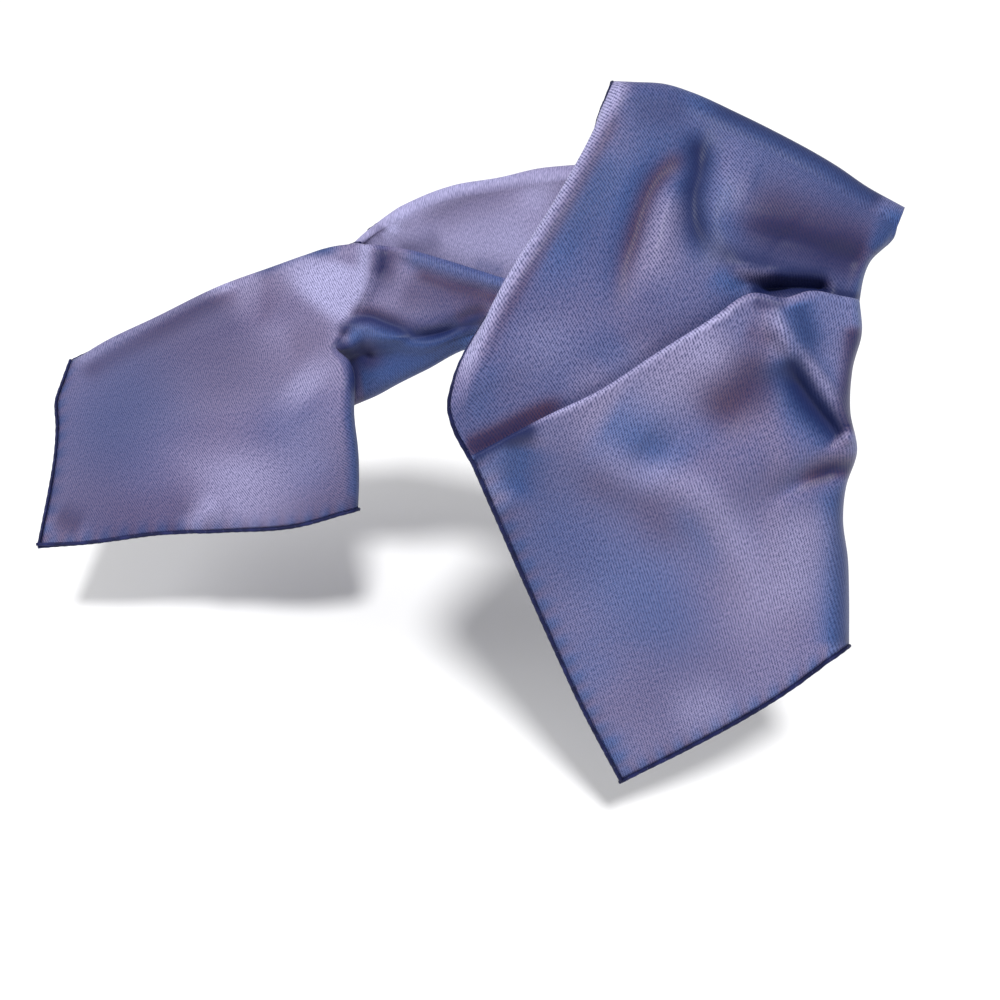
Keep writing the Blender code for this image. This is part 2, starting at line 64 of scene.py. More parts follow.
# The drape is laid out as it is seen: across, up and away from a viewer who looks down at the hold point.
looking = {
    "tilt": math.radians(40),
    "distance": 650.0,
    "axisAcross": -145.0,
    "axisUp": -127.5,
    "holdX": 790,         # pixel of the hold point
    "holdY": 245,
    "perPixel": 0.5,      # mm at the hold point
}


def seenAt(x, y):
    return ((x - looking["holdX"]) * looking["perPixel"], (looking["holdY"] - y) * looking["perPixel"])


# lines and turned edges

def lineAlong(rows, places):
    rows = np.array(rows, float)
    steps = np.linalg.norm(np.diff(rows, axis=0), axis=1)
    knots = np.concatenate([[0.0], np.cumsum(steps)]) / steps.sum()
    slopes = np.gradient(rows, knots, axis=0)
    places = np.asarray(places, float)
    index = np.clip(np.searchsorted(knots, places, side="right") - 1, 0, len(rows) - 2)
    span = (knots[index + 1] - knots[index])[:, None]
    t = ((places - knots[index]) / span[:, 0])[:, None]
    low, high = rows[index], rows[index + 1]
    lowSlope, highSlope = slopes[index] * span, slopes[index + 1] * span
    return (
        low * (2 * t**3 - 3 * t**2 + 1)
        + lowSlope * (t**3 - 2 * t**2 + t)
        + high * (3 * t**2 - 2 * t**3)
        + highSlope * (t**3 - t**2)
    )


def placesPast(rows, row, before, after):
    steps = np.linalg.norm(np.diff(np.array(rows, float), axis=0), axis=1)
    share = steps[:row].sum() / steps.sum()
    return np.concatenate([np.linspace(0, share, before + 1), np.linspace(share, 1, after + 1)[1:]])


def column(table, places, index):
    table = np.array(table, float)
    return np.interp(places, table[:, 0], table[:, index])


def unit(ways):
    return ways / np.maximum(1e-9, np.linalg.norm(ways, axis=-1, keepdims=True))


def inWorld(seen):
    across, up, away = seen[..., 0], seen[..., 1], seen[..., 2]
    spread = 1 + away / looking["distance"]
    across = looking["axisAcross"] + (across - looking["axisAcross"]) * spread
    up = looking["axisUp"] + (up - looking["axisUp"]) * spread
    cosine, sine = math.cos(looking["tilt"]), math.sin(looking["tilt"])
    return np.stack([across, up * sine + away * cosine, up * cosine - away * sine], axis=-1) * mm


def toViewer(world):
    cosine, sine = math.cos(looking["tilt"]), math.sin(looking["tilt"])
    x, y, z = world[..., 0], world[..., 1], world[..., 2]
    return np.stack([x, y * sine + z * cosine, y * cosine - z * sine], axis=-1)


def eased(values, passes):
    for _ in range(passes):
        values = np.concatenate([values[:1], (values[:-2] + 2 * values[1:-1] + values[2:]) / 4, values[-1:]])
    return values


shaping = {
    "cornerShare": 0.3,   # of an edge, over which its way out swings to that of the next edge
    "pullShare": 0.6,     # of the way across, over which a turned edge draws the cloth in
    "calmShare": 0.22,    # of the way up from a tuck, over which the folds begin
    "wayShare": 0.04,     # of an edge, that gives its way at each end
    "easings": 60,        # smoothing passes along an edge
    "linePoints": 25,
    "strokePoints": 6,    # for each place of a stroke
}


class Edge:
    def __init__(self, rows, turn=None, steps=0, side=1, trim=0.0):
        self.rows = rows
        self.turn = turn or ((0.0, 0, 1, 0, trim), (1.0, 0, 1, 0, trim))
        self.steps = steps
        self.side = side

    def at(self, places):
        return lineAlong(self.rows, np.ravel(places)).reshape(*np.shape(places), 3)

    def read(self, places, inside, first, last):
        self.angle = np.radians(column(self.turn, places, 1))
        self.radius = column(self.turn, places, 2)
        self.length = self.radius * self.angle + column(self.turn, places, 3)
        self.inset = column(self.turn, places, 4)
        if self.steps:
            quarter = self.radius * math.pi / 2 / self.length
            self.inset = self.inset + self.turned(np.minimum(1.0, quarter))[0]
        self.inset = eased(self.inset, shaping["easings"])
        self.angle = eased(self.angle, shaping["easings"])
        line = self.at(places)[:, :2]
        along = unit(np.gradient(line, axis=0))
        square = np.stack([-along[:, 1], along[:, 0]], axis=1)
        middle = len(line) // 2
        if np.dot(inside[:2] - line[middle], square[middle]) > 0:
            square = -square
        out = square
        for way, distance in ((first, places), (last, 1 - places)):
            share = np.clip(1 - distance / shaping["cornerShare"], 0, 1)[:, None] ** 2
            out = unit(out * (1 - share) + way * share)
        reach = np.maximum(0.5, np.sum(out * square, axis=1))[:, None]
        self.out = eased(out / reach, shaping["easings"])

    def turned(self, share):
        run = share * self.length
        arc = np.minimum(run, self.radius * self.angle)
        straight = run - arc
        theta = arc / self.radius
        sideways = self.radius * np.sin(theta) + straight * np.cos(theta)
        back = self.radius * (1 - np.cos(theta)) + straight * np.sin(theta)
        return sideways, back * self.side

    def strips(self):
        made = []
        for step in range(1, self.steps + 1):
            sideways, back = self.turned(np.full(len(self.out), step / self.steps))
            made.append(np.concatenate([self.out * sideways[:, None], back[:, None]], axis=1))
        return made


def nearestOn(line, seen):
    best = np.full(seen.shape[:-1], 1e9)
    along = np.zeros(seen.shape[:-1])
    for k in range(len(line) - 1):
        way = line[k + 1] - line[k]
        past = seen - line[k]
        t = np.clip((past @ way) / (way @ way), 0, 1)
        off = past - t[..., None] * way
        apart = np.linalg.norm(off, axis=-1)
        closer = apart < best
        best = np.where(closer, apart, best)
        along = np.where(closer, (k + t) / (len(line) - 1), along)
    return best, along


def strokeOn(seen, width, fadeIn, fadeOut, places):
    # a soft stroke along a line, fading over a share of it at each end
    stops = np.linspace(0, 1, shaping["strokePoints"] * len(places))
    line = lineAlong([seenAt(*p) for p in places], stops)
    apart, along = nearestOn(line, seen[..., :2])
    strength = np.ones(along.shape)
    if fadeIn:
        strength = strength * np.clip(along / fadeIn, 0, 1)
    if fadeOut:
        strength = strength * np.clip((1 - along) / fadeOut, 0, 1)
    strength = strength * strength * (3 - 2 * strength)
    return strength * np.exp(-((apart / (width * looking["perPixel"])) ** 2))


def drape(near, far, left, right, across, along, folds, nearPlaces=None, farPlaces=None, calm=None):
    s = np.linspace(0, 1, along)
    nearT = np.linspace(0, 1, across) if nearPlaces is None else nearPlaces
    farT = np.linspace(0, 1, across) if farPlaces is None else farPlaces
    s2 = s[:, None]
    t2 = (1 - s2) * nearT + s2 * farT
    s3, t3 = s2[..., None], t2[..., None]
    ends = np.array([0.0, 1.0])
    (nearLeft, nearRight), (farLeft, farRight) = near.at(ends), far.at(ends)
    flat = (1 - s3) * ((1 - t3) * nearLeft + t3 * nearRight)
    flat = flat + s3 * ((1 - t3) * farLeft + t3 * farRight)
    surface = (1 - s3) * near.at(t2) + s3 * far.at(t2)
    surface = surface + (1 - t3) * left.at(s)[:, None] + t3 * right.at(s)[:, None] - flat

    inside = surface[along // 2, across // 2]
    ways = {}
    stops = np.array([0.0, shaping["wayShare"], 1 - shaping["wayShare"], 1.0])
    for name, edge in (("near", near), ("far", far), ("left", left), ("right", right)):
        line = edge.at(stops)[:, :2]
        ways[name] = unit(np.stack([line[0] - line[1], line[3] - line[2]]))
    near.read(nearT, inside, ways["left"][0], ways["right"][0])
    far.read(farT, inside, ways["left"][1], ways["right"][1])
    left.read(s, inside, ways["near"][0], ways["far"][0])
    right.read(s, inside, ways["near"][1], ways["far"][1])
    for edge, distance, axis in ((near, s2, 0), (far, 1 - s2, 0), (left, t2, 1), (right, 1 - t2, 1)):
        weight = np.clip(1 - distance / shaping["pullShare"], 0, 1) ** 2
        pull = np.expand_dims(edge.out * edge.inset[:, None], axis)
        surface[..., :2] -= weight[..., None] * pull

    before = [surface[0] + strip for strip in reversed(near.strips())]
    after = [surface[-1] + strip for strip in far.strips()]
    surface = np.stack([*before, *surface, *after])
    rowOf = [0] * near.steps + list(range(along)) + [along - 1] * far.steps
    before = [surface[:, 0] + strip[rowOf] for strip in reversed(left.strips())]
    after = [surface[:, -1] + strip[rowOf] for strip in right.strips()]
    surface = np.stack(before + [surface[:, k] for k in range(across)] + after, axis=1)

    strength = np.ones(len(surface))
    if calm == "near":
        strength = np.clip((np.arange(len(surface)) - near.steps) / (shaping["calmShare"] * along), 0, 1)
    if calm == "far":
        strength = np.clip((len(surface) - 1 - np.arange(len(surface))) / far.steps, 0, 1)
    strength = strength * strength * (3 - 2 * strength)
    for width, height, fadeIn, fadeOut, *places in folds:
        surface[..., 2] -= height * strokeOn(surface, width, fadeIn, fadeOut, places) * strength[:, None]
    return surface


def movedLine(rows, inward, away):
    line = lineAlong(rows, np.linspace(0, 1, shaping["linePoints"]))
    along = unit(np.gradient(line[:, :2], axis=0))
    up = np.stack([-along[:, 1], along[:, 0]], axis=1)
    line[:, :2] -= up * np.broadcast_to(inward, len(line))[:, None]
    line[:, 2] += away
    return [tuple(row) for row in line]


def followOn(first, second, rows=24):
    # brings the start of one stretch onto the end of the stretch before it
    gap = first[-1] - second[0]
    weight = np.clip(1 - np.arange(len(second)) / rows, 0, 1) ** 2
    second = second + weight[:, None, None] * gap
    return np.concatenate([first, second[1:]])


# the silk's tints and painted light, one set of four amounts for each point of a sheet: blue is the silk's
# own blue and also painted shade, maroon and navy are painted shade, pale is a painted highlight; blue,
# maroon and pale also vary at random in clouds

def facing(surface):
    world = toViewer(inWorld(surface) / mm)
    alongRows = np.gradient(world, axis=0)
    acrossRows = np.gradient(world, axis=1)
    normal = unit(np.cross(alongRows, acrossRows))
    if np.median(normal[..., 2]) > 0:
        normal = -normal
    return normal


cloudWaves = {
    "count": 6,
    "turn": 2.4,          # between one wave's way and the next
    "rise": 1.7,
    "shortest": 0.5,      # of the size asked for
    "growth": 0.17,
}


def clouds(surface, size, seed):
    # slow waves in several directions, always the same ones
    world = inWorld(surface) / mm
    made = np.zeros(world.shape[:-1])
    for k in range(cloudWaves["count"]):
        turn = seed + cloudWaves["turn"] * k
        way = np.array([math.cos(turn), math.sin(turn * cloudWaves["rise"]), math.sin(turn)])
        long = size * (cloudWaves["shortest"] + cloudWaves["growth"] * k)
        made += np.sin(world @ way / long * math.pi + turn * 3)
    return made / cloudWaves["count"]


puckers = {               # small pulls of the stitches along an edge
    "apart": 6.3,
    "height": 0.22,
    "reach": 4.0,
    "slowApart": 12.5,
    "slowHeight": 0.35,
    "slowReach": 9.0,
    "paintedShadeReach": 7.0,
    # how much each wave's spacing or height wanders, and over how many mm
    "wander": (1.3, 17.0),
    "slowWander": (1.5, 41.0),
    "uneven": (0.4, 23.0),
    # painted shade on the slow puckers, blue and navy on one side of each and maroon on the other
    "tints": {"blue": 0.8, "navy": 0.25, "maroon": 0.25},
}


def slowWave(run):
    amount, length = puckers["slowWander"]
    return np.sin(run / puckers["slowApart"] * 2 * math.pi + amount * np.sin(run / length))


tintAndLightNames = ("blue", "maroon", "pale", "navy")
tintAndLightSettings = {
    # painted light by facing: how much a tint gains where the cloth faces right, left, up or down; pale is a
    # painted highlight on faces turned left and up towards the light, navy and maroon are painted shade on
    # faces turned right and down, and blue adds painted shade on faces turned right
    "blueRight": 0.55,
    "paleLeft": 0.5,
    "navyRight": 0.5,
    "paleUp": 0.1,
    "maroonDown": 0.45,
    "navyDown": 0.2,
    # how far it has to face that way first
    "blueLeast": -0.4,
    "navyRightFrom": 0.3,
    "maroonFrom": 0.2,
    "navyDownFrom": 0.4,
    # the clouds of each tint: size in mm, seed and amount
    "blueClouds": (60.0, 1.0, 0.2),
    "maroonClouds": (45.0, 2.0, 0.12),
    "paleClouds": (80.0, 3.0, 0.15),
    "strokeBreadth": 1.3,
    "strokeClears": 0.8,  # of the other tints
    # where the cloth isn't seen from the front: where that starts, its span, and what clouds it has
    "backFrom": 0.1,
    "backSpan": 0.5,
    "backClouds": (70.0, 4.0),
    "backTints": {"blue": (0.55, 0.5), "maroon": (0.18, -0.4)},
}


def tintsAndLightOf(surface, overall, strokes, hemRuns=()):
    normal = facing(surface)
    right, up, away = normal[..., 0], normal[..., 1], normal[..., 2]
    toBack = np.clip((away + tintAndLightSettings["backFrom"]) / tintAndLightSettings["backSpan"], 0, 1)

    def gained(name, faced, start=0.0, least=0.0):
        return tintAndLightSettings[name] * np.clip(faced - start, least, 1)

    tints = dict(zip(tintAndLightNames, overall))
    # painted highlight where the cloth faces towards the light, painted shade where it faces away
    tints["blue"] = tints["blue"] + gained("blueRight", right, least=tintAndLightSettings["blueLeast"])
    tints["maroon"] = tints["maroon"] + gained("maroonDown", -up, tintAndLightSettings["maroonFrom"])
    tints["pale"] = tints["pale"] + gained("paleLeft", -right) + gained("paleUp", up)
    tints["navy"] = tints["navy"] + gained("navyRight", right, tintAndLightSettings["navyRightFrom"])
    tints["navy"] = tints["navy"] + gained("navyDown", -up, tintAndLightSettings["navyDownFrom"])
    for name in tintAndLightNames[:3]:
        size, seed, amount = tintAndLightSettings[name + "Clouds"]
        tints[name] = tints[name] + amount * clouds(surface, size, seed)
    # the tables' strokes: pale strokes are painted highlights, maroon and navy strokes painted shade in
    # valleys and creases, blue strokes the silk's blue and painted shade
    for name, width, strength, fadeIn, fadeOut, *places in strokes:
        stroke = strokeOn(surface, width * tintAndLightSettings["strokeBreadth"], fadeIn, fadeOut, places)
        stroke = strength * (1 - toBack) * stroke
        for other in tints:
            alongside = {name, other} in ({"blue", "navy"}, {"maroon", "navy"})
            if other != name and not alongside:
                tints[other] = tints[other] * (1 - tintAndLightSettings["strokeClears"] * stroke)
        tints[name] = tints[name] * (1 - stroke) + stroke
    # painted shade along the hems, following the slow puckers
    for apart, run in hemRuns:
        patch = 0.5 + 0.5 * slowWave(run)
        near = np.exp(-((apart / puckers["paintedShadeReach"]) ** 2))
        for name, amount in puckers["tints"].items():
            tints[name] = tints[name] + amount * near * (1 - patch if name == "maroon" else patch)
    cloud = clouds(surface, *tintAndLightSettings["backClouds"])
    for name, (amount, wave) in tintAndLightSettings["backTints"].items():
        tints[name] = tints[name] * (1 - toBack) + toBack * (amount + wave * cloud)
    return np.clip(np.stack([tints[k] for k in tintAndLightNames], axis=-1), 0, 1)


settling = {              # how a draped sheet is laid out flat for its weave
    "smoothing": 30,
    "rounds": 12,
    "passes": 60,
}


def smoothed(points, passes):
    for _ in range(passes):
        points = points.copy()
        points[1:-1] = (points[:-2] + 2 * points[1:-1] + points[2:]) / 4
        points[:, 1:-1] = (points[:, :-2] + 2 * points[:, 1:-1] + points[:, 2:]) / 4
    return points


def laidFlat(world, guess):
    # finds flat places for the points, from a first guess, that keep the lengths of the rows and columns
    def steps(points):
        across, down = np.diff(points, axis=1), np.diff(points, axis=0)
        return (across[:-1] + across[1:]) / 2, (down[:, :-1] + down[:, 1:]) / 2

    def spread(across, down):
        # what each point gets from wanted steps of the cells around it
        made = np.zeros_like(guess)
        for rows in (slice(None, -1), slice(1, None)):
            made[rows, 1:] += across / 2
            made[rows, :-1] -= across / 2
        for columns in (slice(None, -1), slice(1, None)):
            made[1:, columns] += down / 2
            made[:-1, columns] -= down / 2
        return made

    along, down = steps(world)
    long = np.linalg.norm(along, axis=-1)
    lean = np.sum(along * down, axis=-1) / np.maximum(long, 1e-6)
    high = np.sqrt(np.maximum(0, np.sum(down * down, axis=-1) - lean ** 2))
    seenAcross, seenDown = steps(guess)
    turnedOver = seenAcross[..., 0] * seenDown[..., 1] - seenAcross[..., 1] * seenDown[..., 0]
    high = high * np.sign(np.median(turnedOver))
    flat = guess
    for _ in range(settling["rounds"]):
        nowAcross, nowDown = steps(flat)
        same = nowAcross[..., 0] * long + nowDown[..., 0] * lean + nowDown[..., 1] * high
        turned = nowAcross[..., 1] * long + nowDown[..., 1] * lean - nowDown[..., 0] * high
        size = np.maximum(1e-9, np.hypot(same, turned))
        cosine, sine = same / size, turned / size
        wantedAcross = np.stack([cosine * long, sine * long], axis=-1)
        wantedDown = [cosine * lean - sine * high, sine * lean + cosine * high]
        wantedDown = np.stack(wantedDown, axis=-1)
        left = spread(wantedAcross, wantedDown) - spread(*steps(flat))
        way, worth = left, np.sum(left * left)
        for _ in range(settling["passes"]):
            push = spread(*steps(way))
            step = worth / max(1e-12, np.sum(way * push))
            flat = flat + step * way
            left = left - step * push
            before, worth = worth, np.sum(left * left)
            way = left + way * (worth / max(1e-12, before))
    return flat


def weaveOf(surface, wale):
    world = toViewer(inWorld(smoothed(surface, settling["smoothing"])) / mm)
    step = np.diff(world, axis=1)
    middle = world.shape[1] // 2
    lengths = np.sign(step[..., 0].mean()) * np.sqrt(step[..., 0] ** 2 + step[..., 2] ** 2)
    x = np.concatenate([np.zeros((len(world), 1)), np.cumsum(lengths, axis=1)], axis=1)
    x = x - x[:, middle : middle + 1] + world[:, middle : middle + 1, 0]
    step = np.diff(world, axis=0)
    lengths = np.sign(step[: len(step) // 2, :, 1].mean()) * np.sqrt(step[..., 1] ** 2 + step[..., 2] ** 2)
    y = np.concatenate([np.zeros((1, world.shape[1])), np.cumsum(lengths, axis=0)], axis=0)
    y = y + world[0, :, 1]
    flat = laidFlat(world, np.stack([x, y], axis=-1))
    x, y = flat[..., 0], flat[..., 1]
    turn = math.radians(wale)
    cosine, sine = math.cos(turn), math.sin(turn)
    return np.stack([-x * sine + y * cosine, x * cosine + y * sine], axis=-1)


def puckered(surface, side):
    # returns the pulled sheet, and how far each point is from the edge and along it
    world = inWorld(surface) / mm
    line = {"left": world[:, 0], "near": world[0], "far": world[-1], "right": world[:, -1]}[side]
    run = np.concatenate([[0], np.cumsum(np.linalg.norm(np.diff(line, axis=0), axis=1))])
    if side in ("left", "right"):
        run = run[:, None] + np.zeros(surface.shape[:2])
        apart = np.linalg.norm(world - line[:, None], axis=-1)
    else:
        run = run[None, :] + np.zeros(surface.shape[:2])
        apart = np.linalg.norm(world - line[None], axis=-1)
    amount, length = puckers["wander"]
    wave = np.sin(run / puckers["apart"] * 2 * math.pi + amount * np.sin(run / length))
    amount, length = puckers["uneven"]
    wave = puckers["height"] * wave * (1 - amount + amount * np.sin(run / length))
    surface = surface.copy()
    surface[..., 2] -= wave * np.exp(-((apart / puckers["reach"]) ** 2))
    surface[..., 2] -= puckers["slowHeight"] * slowWave(run) * np.exp(-((apart / puckers["slowReach"]) ** 2))
    return surface, (apart, run)


# sheets

def gridInto(mesh, surface, tints, weave, ribs):
    points = inWorld(surface)
    rows, columns = points.shape[:2]
    made = bmesh.ops.create_grid(mesh, x_segments=columns - 1, y_segments=rows - 1, size=1)["verts"]
    tintAndLightLayer = mesh.verts.layers.float_color["tints"]
    ribLayer = mesh.verts.layers.float["ribs"]
    ribs = np.broadcast_to(ribs, (rows, columns))
    placed = {}
    for vertex in made:
        row = round((vertex.co.y + 1) / 2 * (rows - 1))
        place = round((vertex.co.x + 1) / 2 * (columns - 1))
        placed[vertex] = (row, place)
    weaveLayer = mesh.loops.layers.uv["weave"]
    faces = {face for vertex in made for face in vertex.link_faces}
    for face in faces:
        for loop in face.loops:
            loop[weaveLayer].uv = weave[placed[loop.vert]] * mm
    for vertex, at in placed.items():
        vertex.co = points[at]
        vertex[tintAndLightLayer] = tints[at]
        vertex[ribLayer] = ribs[at]


def pieceFrom(name, mesh, look):
    data = bpy.data.meshes.new(name)
    mesh.to_mesh(data)
    mesh.free()
    data.shade_smooth()
    data.materials.append(look)
    piece = bpy.data.objects.new(name, data)
    bpy.context.collection.objects.link(piece)
    return piece


def sheetOf(name, grids, look):
    mesh = bmesh.new()
    mesh.verts.layers.float_color.new("tints")
    mesh.verts.layers.float.new("ribs")
    mesh.loops.layers.uv.new("weave")
    for grid in grids:
        gridInto(mesh, *grid)
    if len(grids) > 1:
        bmesh.ops.remove_doubles(mesh, verts=mesh.verts, dist=0.00001)
    piece = pieceFrom(name, mesh, look)
    print(name, "covers", round(sum(face.area for face in piece.data.polygons), 4), "square metres")
    wall = piece.modifiers.new("wall", "SOLIDIFY")
    wall.thickness = cloth["wall"] * mm
    wall.offset = 0
    return piece


# rolled edges and their stitches

rolledEdge = {
    "pointEvery": 1.1,    # mm along the roll
    "swell": 0.07,        # between stitches, as a share of its radius
    "wander": 0.16,       # mm
    "stitchEvery": 6.3,
    "stitchLong": 1.5,
    "stitchThick": 0.42,
}


def rollLine(surface, which, lift=0.0, start=0.0, end=0.0, rows=None):
    points = inWorld(surface if rows is None else surface[rows[0]:rows[1]])
    edge, inner = {
        "near": (points[0], points[2]),
        "far": (points[-1], points[-3]),
        "left": (points[:, 0], points[:, 2]),
        "right": (points[:, -1], points[:, -3]),
    }[which]
    along = unit(np.gradient(edge, axis=0))
    out = edge - inner
    out = unit(out - along * np.sum(out * along, axis=1)[:, None])
    square = np.cross(along, out)
    radius = cloth["hem"] / 2
    clear = math.sqrt(radius ** 2 - max(0.0, abs(lift) - cloth["wall"] / 2) ** 2) - cloth["hemTuck"]
    line = edge + (out * clear + square * lift) * mm
    run = np.concatenate([[0], np.cumsum(np.linalg.norm(np.diff(line, axis=0), axis=1))]) / mm
    stops = np.arange(start, run[-1] - end, rolledEdge["pointEvery"])
    stops = np.append(stops, run[-1] - end)
    first, last = unit(line[0] - line[1]), unit(line[-1] - line[-2])

    def reading(values, beyondFirst, beyondLast):
        made = np.stack([np.interp(stops, run, values[:, k]) for k in range(3)], axis=1)
        made += np.maximum(0, -stops)[:, None] * beyondFirst * mm
        return made + np.maximum(0, stops - run[-1])[:, None] * beyondLast * mm

    zero = np.zeros(3)
    smooth = reading(line, first, last)
    for _ in range(3):
        smooth[1:-1] = (smooth[:-2] + 2 * smooth[1:-1] + smooth[2:]) / 4
    return smooth, unit(reading(out, zero, zero)), unit(reading(square, zero, zero)), stops


def rolled(name, surface, which, look, seed=0.0, **kept):
    line, out, square, stops = rollLine(surface, which, **kept)
    wobble = rolledEdge["wander"] * mm
    line = line + out * (np.sin(stops / 19.0 + seed) * wobble)[:, None]
    line = line + square * (np.sin(stops / 13.0 + 2 * seed) * wobble)[:, None]
    phase = stops / rolledEdge["stitchEvery"] * 2 * math.pi
    curve = bpy.data.curves.new(name, "CURVE")
    curve.dimensions = "3D"
    curve.bevel_depth = cloth["hem"] / 2 * mm
    curve.bevel_resolution = 2
    curve.use_fill_caps = True
    spline = curve.splines.new("POLY")
    spline.points.add(len(line) - 1)
    swell = 1 + rolledEdge["swell"] * (np.sin(phase) + 0.5 * np.sin(stops / 7.7 + seed))
    for point, place, size in zip(spline.points, line, swell):
        point.co = (*place, 1)
        point.radius = size
    shaper = bpy.data.objects.new(name + "Shaper", curve)
    bpy.context.collection.objects.link(shaper)
    data = bpy.data.meshes.new_from_object(shaper.evaluated_get(bpy.context.evaluated_depsgraph_get()))
    bpy.data.objects.remove(shaper)
    data.name = name
    mesh = bmesh.new()
    mesh.from_mesh(data)
    bmesh.ops.remove_doubles(mesh, verts=mesh.verts, dist=0.000001)
    bmesh.ops.recalc_face_normals(mesh, faces=mesh.faces)
    mesh.to_mesh(data)
    mesh.free()
    data.shade_smooth()
    data.materials.clear()
    data.materials.append(look)
    piece = bpy.data.objects.new(name, data)
    bpy.context.collection.objects.link(piece)
    return piece, (line, out, square, stops)


def stitchesOn(name, rolls, look):
    mesh = bmesh.new()
    for line, out, square, stops in rolls:
        along = unit(np.gradient(line, axis=0))
        places = np.arange(4.0, stops[-1] - 3.0, rolledEdge["stitchEvery"])
        for number, stop in enumerate(places):
            k = int(np.searchsorted(stops, stop))
            if k >= len(line) - 1:
                continue
            face = 1 if number % 2 else -1
            slant = unit(-out[k] * 0.9 + along[k] * 0.55)
            lift = square[k] * face
            centre = line[k] + (lift * cloth["hem"] * 0.42 - out[k] * cloth["hem"] * 0.28) * mm
            turn = Matrix((slant, np.cross(lift, slant), lift)).transposed().to_4x4()
            size = Matrix.Diagonal((
                rolledEdge["stitchLong"] * mm / 2,
                rolledEdge["stitchThick"] * mm / 2,
                rolledEdge["stitchThick"] * mm / 2,
                1,
            ))
            bmesh.ops.create_uvsphere(
                mesh, u_segments=6, v_segments=4, radius=1,
                matrix=Matrix.Translation(Vector(centre)) @ turn @ size,
            )
    bmesh.ops.recalc_face_normals(mesh, faces=mesh.faces)
    # the sphere operator lists its faces in another order each time
    mesh.verts.index_update()
    for number, face in enumerate(sorted(mesh.faces, key=lambda f: sorted(v.index for v in f.verts))):
        face.index = number
    mesh.faces.sort()
    return pieceFrom(name, mesh, look)


# materials

def plug(tree, slot, value):
    if isinstance(value, Wire):
        tree.links.new(value.socket, slot)
    else:
        slot.default_value = value


class Wire:
    # a number or colour on its way through the shader; sums on it add nodes
    def __init__(self, tree, socket):
        self.tree = tree
        self.socket = socket

    def math(self, operation, *others):
        node = self.tree.nodes.new("ShaderNodeMath")
        node.operation = operation
        for slot, value in zip(node.inputs, (self, *others)):
            plug(self.tree, slot, value)
        return Wire(self.tree, node.outputs[0])

    def output(self, index):
        # another output of the node that this one comes from
        return Wire(self.tree, self.socket.node.outputs[index])

    def __add__(self, other):
        return self.math("ADD", other)

    __radd__ = __add__

    def __mul__(self, other):
        return self.math("MULTIPLY", other)

    __rmul__ = __mul__

    def __sub__(self, other):
        return self.math("SUBTRACT", other)

    def __rsub__(self, other):
        return self * -1 + other

    def sine(self):
        return self.math("SINE")

    def kept(self, low=0.0, high=1.0):
        return self.math("MAXIMUM", low).math("MINIMUM", high)


class Finish:
    def __init__(self, name):
        self.material = bpy.data.materials.new(name)
        self.material.use_nodes = True
        self.tree = self.material.node_tree
        self.shader = self.tree.nodes["Principled BSDF"]

    def node(self, kind, settings=None, output=0, **values):
        made = self.tree.nodes.new(kind)
        for key, value in (settings or {}).items():
            setattr(made, key, value)
        for key, value in values.items():
            numbered = key[0] == "i" and key[1:].isdigit()
            plug(self.tree, made.inputs[int(key[1:]) if numbered else key], value)
        return Wire(self.tree, made.outputs[output])

    def mix(self, share, first, second):
        return self.node("ShaderNodeMix", {"data_type": "RGBA"}, output=2, i0=share, i6=first, i7=second)

    def set(self, **values):
        for key, value in values.items():
            plug(self.tree, self.shader.inputs[key.replace("_", " ")], value)


silk = {
    # mauve is the silk's own colour, blue its own blue that also serves as painted shade; maroon is painted
    # shade, navy painted shade and the weave's dark lines, pale a painted highlight
    "mauve": (0.235, 0.178, 0.318, 1),
    "blue": (0.058, 0.138, 0.385, 1),
    "maroon": (0.072, 0.028, 0.060, 1),
    "pale": (0.480, 0.465, 0.760, 1),
    "navy": (0.009, 0.016, 0.085, 1),
    "roughness": 0.54,
    "tone": 0.29,         # how far the weave darkens the silk as a whole
    "lineDepth": 0.64,    # how much darker the lines between the wales are
    "threadDepth": 0.36,  # and those between the threads along them
    "speckle": 2.0,
    "fineGrain": 1100.0,
    "coarseGrain": 420.0,
    "waver": 60.0,        # of the twill lines
    "threads": 1.15,      # for each twill line
    "sheen": 0.08,
    "gloss": 0.28,
    "relief": 0.45,
}


